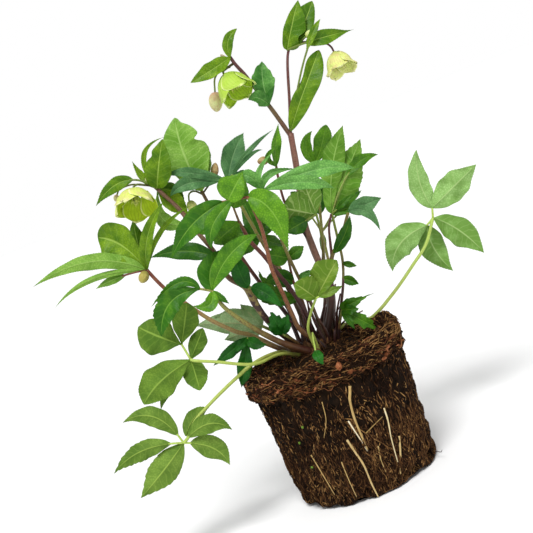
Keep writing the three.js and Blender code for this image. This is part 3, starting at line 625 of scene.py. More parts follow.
class GroundSkin(Enum):
    """What the root ball and the flowers' small inner parts are made of."""

    # moist peat: nearly black with brown crumbs
    COMPOST = GroundFinish(
        "moist_compost", ((0.0, "#070402"), (0.35, "#110a05"), (0.62, "#1f140b"), (0.85, "#352213"),
                          (1.0, "#543a22")), tone_share=0.25)
    # last year's roots, dried tan to golden brown
    DRY_ROOT = GroundFinish(
        "dry_root", ((0.0, "#120a06"), (0.3, "#301c10"), (0.6, "#68472a"), (0.85, "#a47c4a"),
                     (1.0, "#caa670")), 4.0, 1.0, 0.75, 0.3, 0.85)
    # composted bark: foxy red-brown chips
    BARK = GroundFinish(
        "composted_bark", ((0.0, "#221109"), (0.35, "#4c2a18"), (0.7, "#8e5434"), (1.0, "#c48a64")),
        4.0, 1.2, 0.6, 0.7, 0.88)
    # crumbs of compost, a little lighter where they have dried
    CRUMB = GroundFinish(
        "compost_crumb", ((0.0, "#140c06"), (0.5, "#2e1e10"), (0.8, "#56391e"), (1.0, "#866436")),
        3.0, 1.0, 0.7, 0.6)
    # living roots are firm, pale and faintly glossy
    LIVE_ROOT = GroundFinish(
        "living_root", ((0.0, "#8f7040"), (0.35, "#b89a62"), (0.7, "#d2bf90"), (1.0, "#ece4cc")),
        5.0, 1.4, 0.7, 0.25, 0.55)
    # moss and liverwort specks
    MOSS = GroundFinish("moss_speck", ((0.0, "#3f5a20"), (1.0, "#7c9a3c")), 2.0, 0.8, 0.5, 0.4, 0.8)
    # papery scales left round the crown
    SCALE = GroundFinish(
        "papery_scale", ((0.0, "#2c1c12"), (0.5, "#5a3c26"), (1.0, "#8c6a48")), 5.0, 1.2, 0.5, 0.4, 0.75)
    # anthers and filaments, cream to pale yellow
    STAMEN = GroundFinish("stamen", ((0.0, "#bcc848"), (1.0, "#f0f094")), 1.5, 0.6, 0.6, 0.1, 0.6)
    # tubular nectaries, yellow green
    NECTARY = GroundFinish("nectary", ((0.0, "#7e9a1c"), (1.0, "#b9cc48")), 1.5, 0.6, 0.5, 0.1, 0.45)


# ---- Mesh drafts ---------------------------------------------------------------------------------------


def octahedral_ball() -> tuple[np.ndarray, np.ndarray]:
    """A small round ball with 18 corners and 32 triangles.

    Returns:
        Its points and its faces.
    """
    corners = [np.array(p, float) for p in
               ((1, 0, 0), (-1, 0, 0), (0, 1, 0), (0, -1, 0), (0, 0, 1), (0, 0, -1))]
    sides = [(0, 2, 4), (2, 1, 4), (1, 3, 4), (3, 0, 4), (2, 0, 5), (1, 2, 5), (3, 1, 5), (0, 3, 5)]
    middles: dict[tuple[int, int], int] = {}
    faces = []
    for a, b, c in sides:
        ring = []
        for pair in ((a, b), (b, c), (c, a)):
            key = (min(pair), max(pair))
            if key not in middles:
                middles[key] = len(corners)
                corners.append(unit(corners[key[0]] + corners[key[1]]))
            ring.append(middles[key])
        ab, bc, ca = ring
        faces += [(a, ab, ca), (ab, b, bc), (ca, bc, c), (ab, bc, ca)]
    return np.array(corners), np.array(faces)


class MeshDraft:
    """Points and faces of one piece, gathered part by part in millimetres."""

    def __init__(self, rng: np.random.Generator) -> None:
        """Starts an empty draft that draws its random numbers from rng.

        Args:
            rng: random numbers for all that is added.
        """
        self.rng = rng
        self.points: list[np.ndarray] = []
        self.maps: list[np.ndarray] = []
        self.tones: list[np.ndarray] = []
        self.alongs: list[np.ndarray] = []
        self.faces: list[tuple[np.ndarray, np.ndarray]] = []
        self.finishes: list[bpy.types.Material] = []
        self.count = 0

    def slot_of(self, skin: Enum) -> int:
        """The material slot that a skin has in this draft.

        Args:
            skin: the skin.

        Returns:
            The number of its slot, a new one where it is new.
        """
        material = skin.value.material()
        if material not in self.finishes:
            self.finishes.append(material)
        return self.finishes.index(material)

    def add(
        self,
        points: np.ndarray,
        faces: list[tuple[np.ndarray, np.ndarray]],
        tone: np.ndarray | float,
        along: np.ndarray | float,
        leaf_map: np.ndarray | None = None,
    ) -> None:
        """Adds points and faces.

        Args:
            points: places in millimetres, (P, 3).
            faces: (corners, slots) pairs, the corners (F, 3) or (F, 4), numbered from this part's first.
            tone: lightness, one for each point or for all.
            along: place from foot to tip, one for each point or for all.
            leaf_map: map coordinates, (P, 2).
        """
        number = len(points)
        self.points.append(points)
        self.maps.append(np.zeros((number, 2)) if leaf_map is None else leaf_map)
        self.tones.append(np.broadcast_to(tone, number))
        self.alongs.append(np.broadcast_to(along, number))
        self.faces += [(corners + self.count, slots) for corners, slots in faces]
        self.count += number

    def loft(
        self,
        rings: np.ndarray,
        foot: np.ndarray,
        tip: np.ndarray,
        slots: np.ndarray | int,
        tone: float = 0.5,
        along: np.ndarray | None = None,
        leaf_map: np.ndarray | None = None,
    ) -> None:
        """Adds a closed skin through rings of points, with a pole at each end.

        Args:
            rings: places in millimetres, (R, N, 3).
            foot: the pole before the first ring.
            tip: the pole after the last ring.
            slots: material slot, one for each column or for all.
            tone: lightness of the whole part.
            along: place from foot to tip, one for each ring.
            leaf_map: map coordinates, (R, N, 2).
        """
        rows, columns = rings.shape[:2]
        grid = np.arange(rows * columns).reshape(rows, columns)
        beside = np.roll(grid, -1, axis=1)
        slots = np.broadcast_to(slots, columns)
        quads = np.stack([grid[:-1], beside[:-1], beside[1:], grid[1:]], axis=-1).reshape(-1, 4)
        poles = np.full(columns, rows * columns)
        fans = [np.stack([beside[0], grid[0], poles], axis=-1),
                np.stack([grid[-1], beside[-1], poles + 1], axis=-1)]
        points = np.vstack([rings.reshape(-1, 3), foot, tip])
        middle = points - points.mean(axis=0)
        triangles = np.vstack([quads[:, :3], quads[:, [0, 2, 3]], *fans])
        a, b, c = (middle[triangles[:, k]] for k in range(3))
        if np.einsum("ij,ij->", a, np.cross(b, c)) < 0:
            quads = quads[:, ::-1]
            fans = [fan[:, ::-1] for fan in fans]
        along = np.linspace(0, 1, rows) if along is None else along
        along = np.concatenate([np.repeat(along, columns), along[[0, -1]]])
        if leaf_map is not None:
            ends = leaf_map[[0, -1]].mean(axis=1)
            leaf_map = np.vstack([leaf_map.reshape(-1, 2), ends])
        faces = [(quads, np.tile(slots, rows - 1)), (fans[0], slots), (fans[1], slots)]
        self.add(points, faces, tone, along, leaf_map)

    def blade(
        self,
        top: np.ndarray,
        bottom: np.ndarray,
        skins: tuple[Enum, Enum],
        across: np.ndarray,
        along: np.ndarray,
        veins: float = 1.0,
        tip: np.ndarray | None = None,
        tone: float = 0.5,
    ) -> None:
        """Adds a blade with an upper side and an underside.

        Args:
            top: places of its upper side, (R, C, 3).
            bottom: places of its underside, (R, C, 3).
            skins: finishes of its upper side and its underside.
            across: place of each column from edge to edge, -1 to 1.
            along: place of each row from foot to tip, 0 to 1.
            veins: side veins along the whole blade.
            tip: its end, unless that is the middle of its last row.
            tone: its lightness.
        """
        rings = np.concatenate([top, bottom[:, -2:0:-1]], axis=1)
        columns = np.concatenate([across, across[-2:0:-1]])
        leaf_map = np.stack(np.broadcast_arrays(columns, along[:, None] * veins), axis=-1)
        slots = np.full(len(columns), self.slot_of(skins[1]))
        slots[: len(across) - 1] = self.slot_of(skins[0])
        tip = rings[-1].mean(axis=0) if tip is None else tip
        self.loft(rings, rings[0].mean(axis=0), tip, slots, tone, along, leaf_map)

    def many(self, shapes: np.ndarray, template: np.ndarray, skin: Enum, tones: np.ndarray) -> None:
        """Adds many small closed shapes that share one template of faces.

        Args:
            shapes: places in millimetres, (K, V, 3).
            template: triangles of one shape, (F, 3).
            skin: their finish.
            tones: lightness of each shape, (K,).
        """
        count, corners = shapes.shape[:2]
        a, b, c = (shapes[0][template[:, k]] - shapes[0].mean(axis=0) for k in range(3))
        if np.einsum("ij,ij->", a, np.cross(b, c)) < 0:
            template = template[:, ::-1]
        faces = (template[None] + np.arange(count)[:, None, None] * corners).reshape(-1, 3)
        slots = np.full(len(faces), self.slot_of(skin))
        self.add(shapes.reshape(-1, 3), [(faces, slots)], np.repeat(tones, corners), 0.5)

    def threads(
        self, paths: np.ndarray, outward: np.ndarray, radii: np.ndarray, skin: Enum, tones: np.ndarray
    ) -> None:
        """Adds thin three-sided fibres, pointed at both ends.

        Args:
            paths: points of each fibre, (K, R, 3).
            outward: which way is out from what it lies on, the same shape.
            radii: half the width of each fibre, (K,).
            skin: their finish.
            tones: lightness of each fibre, (K,).
        """
        count, rows = paths.shape[:2]
        tangents = unit(np.gradient(paths, axis=1))
        side = unit(np.cross(tangents, outward))
        up = np.cross(side, tangents)
        inner = paths[:, 1:-1]
        rings = np.stack([
            inner + radii[:, None, None] * (math.cos(angle) * up + math.sin(angle) * side)[:, 1:-1]
            for angle in (math.pi / 2, math.pi * 7 / 6, math.pi * 11 / 6)
        ], axis=2)
        shapes = np.concatenate([rings.reshape(count, -1, 3), paths[:, :1], paths[:, -1:]], axis=1)
        first = (rows - 2) * 3
        end = first - 3
        template = []
        for k, n in ((0, 1), (1, 2), (2, 0)):
            for a in range(0, end, 3):
                template += [(a + k, a + n, a + 3 + n), (a + k, a + 3 + n, a + 3 + k)]
            template += [(n, k, first), (end + k, end + n, first + 1)]
        self.many(shapes, np.array(template), skin, tones)

    def lumps(
        self, centres: np.ndarray, sizes: np.ndarray, turns: np.ndarray, skin: Enum, tones: np.ndarray
    ) -> None:
        """Adds rough little lumps.

        Args:
            centres: their middles, (K, 3).
            sizes: half sizes along each lump's own axes, (K, 3).
            turns: each lump's own axes as rows, (K, 3, 3).
            skin: their finish.
            tones: lightness of each lump, (K,).
        """
        ball, template = octahedral_ball()
        rough = 1 + self.rng.uniform(-0.35, 0.3, (len(centres), len(ball), 1))
        shapes = centres[:, None] + (ball[None] * rough * sizes[:, None]) @ turns
        self.many(shapes, template, skin, tones)

    def make(self, name: str, *nodes: str, slot: str) -> bpy.types.Object:
        """Makes the piece, rides it on the plant's body and lets it stand for its CAD nodes.

        Args:
            name: the piece's name.
            *nodes: the CAD nodes that it stands for.
            slot: not used.

        Returns:
            The piece.
        """
        flat = [corners.ravel() for corners, _ in self.faces]
        sizes = np.concatenate([np.full(len(corners), corners.shape[1]) for corners, _ in self.faces])
        loops = np.concatenate(flat).astype(np.int32)
        mesh = bpy.data.meshes.new(name)
        mesh.vertices.add(self.count)
        mesh.vertices.foreach_set("co", (np.vstack(self.points) * MM).astype(np.float32).ravel())
        mesh.loops.add(len(loops))
        mesh.loops.foreach_set("vertex_index", loops)
        mesh.polygons.add(len(sizes))
        mesh.polygons.foreach_set("loop_start", np.concatenate([[0], np.cumsum(sizes)[:-1]]).astype(np.int32))
        mesh.polygons.foreach_set(
            "material_index", np.concatenate([slots for _, slots in self.faces]).astype(np.int32))
        mesh.polygons.foreach_set("use_smooth", np.ones(len(sizes), bool))
        layer = mesh.uv_layers.new(name=LEAF_MAP)
        layer.data.foreach_set("uv", np.vstack(self.maps)[loops].astype(np.float32).ravel())
        for key, values in ((TONE, self.tones), (ALONG, self.alongs)):
            attribute = mesh.attributes.new(key, "FLOAT", "POINT")
            attribute.data.foreach_set("value", np.concatenate(values).astype(np.float32))
        for material in self.finishes:
            mesh.materials.append(material)
        mesh.update(calc_edges=True)
        mesh.validate()
        piece = bpy.data.objects.new(name, mesh)
        bpy.context.scene.collection.objects.link(piece)
        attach(piece, BODY)
        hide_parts(*nodes)
        triangles = int((sizes - 2).sum())
        LOG.info("%s: %d triangles, stands for %s", name, triangles, ", ".join(nodes))
        return piece


# ---- Stalks and blades ---------------------------------------------------------------------------------


def from_crown(root: tuple[float, float], route: Route) -> np.ndarray:
    """Points from a seat on the crown through a route of the growth plane."""
    return np.vstack([[*root, CROWN_TOP + SEAT_GAP], PLANE.place(route)])


class Growth:
    """What grows as one piece and stands for the node of its own name."""

    SLOT = ""

    def grow(self, draft: MeshDraft) -> None:
        """Adds its parts to a draft."""
        raise NotImplementedError

    def build(self) -> None:
        """Makes the piece."""
        draft = MeshDraft(seeded(self.name))
        self.grow(draft)
        draft.make(f"{self.name}_grown", self.name, slot=self.SLOT)


@dataclass(frozen=True)
class Stalk:
    """A round, slightly ribbed stalk through points of the model's frame."""

    points: np.ndarray
    radii: tuple[float, ...]
    sides: int = 12
    rooted: bool = False  # swells at its foot and runs down into the crown
    span: tuple[float, float] = (0.0, 1.0)  # what its foot and tip count as on the colour's way
    step: float = 2.5  # millimetres from ring to ring

    def grow(self, draft: MeshDraft, skin: StalkSkin) -> None:
        """Adds the stalk to a draft.

        Args:
            draft: what it is added to.
            skin: its finish.
        """
        length = np.linalg.norm(np.diff(self.points, axis=0), axis=1).sum()
        t = np.linspace(0, 1, max(6, int(length / self.step)))
        path = curve_points(self.points, t)
        radius = np.interp(t * (len(self.radii) - 1), range(len(self.radii)), self.radii)
        if self.rooted:
            sunk = path[0] - np.outer([6.0, 3.0], [0, 0, 1])
            path = np.vstack([sunk, path])
            t = np.concatenate([[0, 0], t])
            radius = np.concatenate([radius[[0, 0]], radius])
            radius *= 1 + 0.45 * np.exp(-np.linalg.norm(path - path[0], axis=1) / 9)
        radius *= 1 + 0.05 * value_noise(path, 9.0, int(draft.rng.integers(1000)))
        angles = evenly_round(self.sides)
        ribs = 1 + 0.06 * np.cos(5 * angles + draft.rng.uniform(0, 6)) + 0.03 * np.cos(3 * angles)
        rings = rings_round(path, radius[:, None] * ribs, angles)
        tip = path[-1] + unit(path[-1] - path[-2]) * radius[-1] * 0.5
        along = self.span[0] + (self.span[1] - self.span[0]) * t
        leaf_map = np.stack(np.broadcast_arrays(angles / math.pi - 1, t[:, None] * length / 5), axis=-1)
        draft.loft(rings, path[0], tip, draft.slot_of(skin), 0.5, along, leaf_map)


@dataclass(frozen=True)
class Leaflet:
    """A leaf blade with its midrib, side veins and toothed edge, from its foot to its tip."""

    to: Point
    width: float
    start: Point | None = None  # where it springs from, unless at its leaf's own end
    via: Point | None = None  # what its middle passes through
    face: float = 0.0  # 0 turns its upper side toward, 180 its underside
    widest: float = 0.42
    stem: float = 0.0  # share of its length that is bare stalk
    tooth: float = 0.3  # depth of a tooth in millimetres
    pitch: float = 2.6  # millimetres from tooth to tooth
    # a given tone is matched to how lit or shaded the blade looks: partly its own tone, partly painted light
    # and shade
    tone: float | None = None  # lightness, drawn at random where it isn't given
    taper: float = 1.15  # how drawn out its tip is; below 0.8 it is rounded
    base: float = 0.8  # the same for its foot
    halves: tuple[float, float] = (1.0, 1.0)  # how wide its left and right half are
    notches: tuple[tuple[float, int, float, float], ...] = ()  # (place along it, side, share cut in, reach)

    COLUMNS = (0.0, 0.07, 0.2, 0.42, 0.66, 0.86, 0.965, 1.0)
    FOLD = math.tan(math.radians(15))
    FULLNESS = 1.08
    ARCH = 3.0
    VEIN_SPACING = 6.5

    def grow(
        self, draft: MeshDraft, foot_at: Point, skins: tuple[LeafSkin, LeafSkin], stalk: StalkSkin
    ) -> None:
        """Adds the blade to a draft.

        Args:
            draft: what it is added to.
            foot_at: where it springs from, on the growth plane.
            skins: finishes of its upper side and its underside.
            stalk: finish of its bare stalk.
        """
        rng = draft.rng
        turn = math.radians(self.face)
        foot, tip = PLANE.place([foot_at, self.to])
        if self.via is None:
            middle = (foot + tip) / 2 + TOWARD * self.ARCH * math.cos(turn)
        else:
            middle = PLANE.place(self.via)
        control = 2 * middle - (foot + tip) / 2
        length = (np.linalg.norm(control - foot) + np.linalg.norm(tip - control)) / 2
        length = (length + np.linalg.norm(tip - foot) / 2) * (1 - self.stem)

        teeth = max(2, round(length / self.pitch))
        steps = max(3, round(self.pitch / 1.4))
        row = np.arange(teeth * steps)[:, None]
        s = row / (teeth * steps)
        t = self.stem + (1 - self.stem) * s
        line = bow(t, foot, control, tip)
        tangent = unit(2 * (1 - t) * (control - foot) + 2 * t * (tip - control))
        facing = unit(TOWARD - tangent * (tangent @ TOWARD)[:, None])
        beside = np.cross(tangent, facing)
        twist = turn + np.radians(rng.normal(0, 5) + rng.normal(0, 9) * (s - 0.4))
        above = facing * np.cos(twist) + beside * np.sin(twist)
        side = np.cross(tangent, above)

        bent = s ** (math.log(0.5) / math.log(self.widest))
        power = self.base + (self.taper - self.base) * eased(s, self.widest - 0.05, self.widest + 0.3)
        half = self.width / 2 * self.FULLNESS * np.sin(math.pi * bent) ** power
        half = np.maximum(half, 1.1 * (1 - s) ** 0.6)
        c = both_halves(self.COLUMNS)
        reach = np.abs(c)
        left = c < 0

        phase = np.where(left, row + steps // 2, row) % steps / steps
        saw = np.where(phase < 0.7, phase / 0.7, (1 - phase) / 0.3)
        toothed = eased(s, 0.16, 0.42) * eased(s, 1.0, 0.9) * eased(reach, 0.5, 1.0)
        depth = self.tooth * toothed * rng.uniform(0.75, 1.25, (len(s), 1))
        cut = np.where(left, *self.halves)
        for place, beyond, share, spread in self.notches:
            slit = share * np.exp(-((s - place) / spread) ** 2)
            cut = cut * np.where(np.sign(c) == beyond, 1 - slit, 1.0)
        wide = half * reach * cut + depth * (saw - 0.45)
        forward = depth * saw * 0.9

        veins = max(3.0, length / self.VEIN_SPACING)
        vein_phase = s * veins - VEIN_SWEEP * reach
        shoulder = eased(reach, 0.02, 0.3) * eased(reach, 1.0, 0.7)
        quilt = 0.3 * (0.5 - 0.5 * np.cos(TURN * vein_phase)) * shoulder * min(1, self.width / 16)
        fold = self.FOLD * rng.uniform(0.7, 1.5)
        curl = rng.uniform(-0.16, 0.06)
        rise = half * (fold * reach ** 1.2 + curl * reach ** 3)
        waves = rng.uniform(1.6, 3.0)
        wave_phase = s * waves + np.where(left, *rng.uniform(0, 1, 2))
        wave = 0.17 * half * reach ** 2 * np.sin(TURN * wave_phase) * rng.uniform(0.6, 1.3)
        droop = -0.03 * length * rng.uniform(-0.4, 1.0) * eased(s, 0.6, 1.0) ** 2
        height = rise + wave + quilt + droop

        thin = 0.24 * (1.35 - s) * (1 - reach ** 6)
        groove = 0.22 * (1 - s) * np.exp(-(reach / 0.08) ** 2)
        rib = (0.75 * (1 - s) ** 0.8 + 0.05) * np.exp(-(reach / 0.1) ** 2)
        along = line[:, None] + tangent[:, None] * forward[..., None]
        uneven = 1 + 0.03 * np.sin(TURN * (1.4 * wave_phase + 0.2))
        flat = along + side[:, None] * (wide * uneven * np.sign(c))[..., None]
        top = flat + above[:, None] * (height + thin - groove)[..., None]
        bottom = flat + above[:, None] * (height - thin - rib)[..., None]
        tone = rng.uniform(0.25, 0.75) if self.tone is None else self.tone
        end = tip + above[-1] * droop[-1]
        draft.blade(top, bottom, skins, c, s[:, 0], veins, end, tone)
        if self.stem > 0:
            bare = bow(np.linspace(0, self.stem * 1.15, 4)[:, None], foot, control, tip)
            Stalk(bare, (1.1, 0.95), 8, span=(0.9, 1.0)).grow(draft, stalk)


@dataclass(frozen=True)
class Leaf(Growth):
    """A basal leaf: its petiole from the crown, side stalks where it divides, and its leaflets."""

    name: str
    upper: LeafSkin
    under: LeafSkin
    petiole: StalkSkin
    root: tuple[float, float]
    radii: tuple[float, ...]
    route: Route
    leaflets: tuple[Leaflet, ...]
    twigs: tuple[Route, ...] = ()

    SLOT = "leaf"

    def grow(self, draft: MeshDraft) -> None:
        """Adds the whole leaf to a draft.

        Args:
            draft: what it is added to.
        """
        Stalk(from_crown(self.root, self.route), self.radii, rooted=True).grow(draft, self.petiole)
        for twig in self.twigs:
            Stalk(PLANE.place(twig), (1.2, 1.05), span=(0.9, 1.0)).grow(draft, self.petiole)
        for leaflet in self.leaflets:
            leaflet.grow(draft, leaflet.start or self.route[-1], (self.upper, self.under), self.petiole)


@dataclass(frozen=True)
class Bud(Growth):
    """A closed flower bud on the end of its stalk, its tepals wrapped over each other."""

    foot: Point
    axis: Point
    length: float
    width: float
    skin: TepalSkin
    name: str = ""
    lean: float = 0.12  # how far the tepals' edges wind about it, in turns

    SLOT = "bud"
    PROFILE = ((0.0, 0.0), (0.55, 0.04), (0.92, 0.24), (1.0, 0.48), (0.8, 0.74), (0.36, 0.94), (0.0, 1.0))
    SIDES = 40
    ROWS = 22

    def grow(self, draft: MeshDraft) -> None:
        """Adds the bud to a draft.

        Args:
            draft: what it is added to.
        """
        profile = curve_points(np.array(self.PROFILE), np.linspace(0, 1, self.ROWS + 2))[1:-1]
        radius = np.maximum(profile[:, :1], 0.04) * self.width / 2
        along = profile[:, 1:]
        angle = evenly_round(self.SIDES)
        turn = angle / TURN + self.lean * along + draft.rng.uniform(0, 1)
        lap = (turn * 5) % 1
        step = 0.1 * (lap - 0.5) * eased(along, 0.0, 0.3)
        crease = -0.06 * np.exp(-(np.minimum(lap, 1 - lap) / 0.08) ** 2)
        local = around(radius * (1 + step + crease), angle, SEAT_GAP + along * self.length)
        leaf_map = np.stack(np.broadcast_arrays(lap * 2 - 1, along), axis=-1)
        stand = Standing(self.foot, self.axis)
        draft.loft(
            stand.place(local), stand.up(SEAT_GAP), stand.up(SEAT_GAP + self.length),
            draft.slot_of(self.skin), 0.5, along[:, 0], leaf_map)


@dataclass(frozen=True)
class Standing:
    """How a flower or bud stands: on a foot, with its own +Z along an axis of the growth plane."""

    foot: Point
    axis: Point
    turn: float = 0.0

    def place(self, local: np.ndarray) -> np.ndarray:
        """Brings local points, in millimetres, to the model's frame.

        Args:
            local: points in millimetres from the foot, (..., 3).

        Returns:
            The same points in the model's frame.
        """
        aim = Vector((0, 0, 1)).rotation_difference(Vector(PLANE.heading(self.axis)))
        matrix = aim.to_matrix() @ Matrix.Rotation(math.radians(self.turn), 3, "Z")
        return local @ np.array(matrix).T + PLANE.place(self.foot)

    def up(self, height: float) -> np.ndarray:
        """The point of its own axis at a height."""
        return self.place(np.array([0, 0, height]))


@dataclass(frozen=True)
class Fork:
    """A branch or flower stalk that leaves a flower stem."""

    radii: tuple[float, ...]
    route: Route
    skin: StalkSkin = StalkSkin.PEDICEL


@dataclass(frozen=True)
class FlowerStem(Growth):
    """A flower stem with its forks, flower stalks and smallest buds."""

    name: str
    skin: StalkSkin
    root: tuple[float, float]
    radii: tuple[float, ...]
    route: Route
    forks: tuple[Fork, ...]
    buds: tuple[Bud, ...] = ()

    SLOT = "stem"

    def grow(self, draft: MeshDraft) -> None:
        """Adds the whole stem to a draft.

        Args:
            draft: what it is added to.
        """
        Stalk(from_crown(self.root, self.route), self.radii, 16, rooted=True).grow(draft, self.skin)
        for fork in self.forks:
            Stalk(PLANE.place(fork.route), fork.radii, 10).grow(draft, fork.skin)
        for bud in self.buds:
            bud.grow(draft)


@dataclass(frozen=True)
class BractWhorl(Growth):
    """Leafy bracts that share one foot on a flower stem."""

    name: str
    upper: LeafSkin
    under: LeafSkin
    foot: Point
    blades: tuple[Leaflet, ...]

    SLOT = "bract"

    def grow(self, draft: MeshDraft) -> None:
        """Adds the bracts to a draft."""
        for blade in self.blades:
            blade.grow(draft, blade.start or self.foot, (self.upper, self.under), StalkSkin.PEDICEL)


# ---- Layout: points are across, up and toward from the crown, in mm ------------------------------------

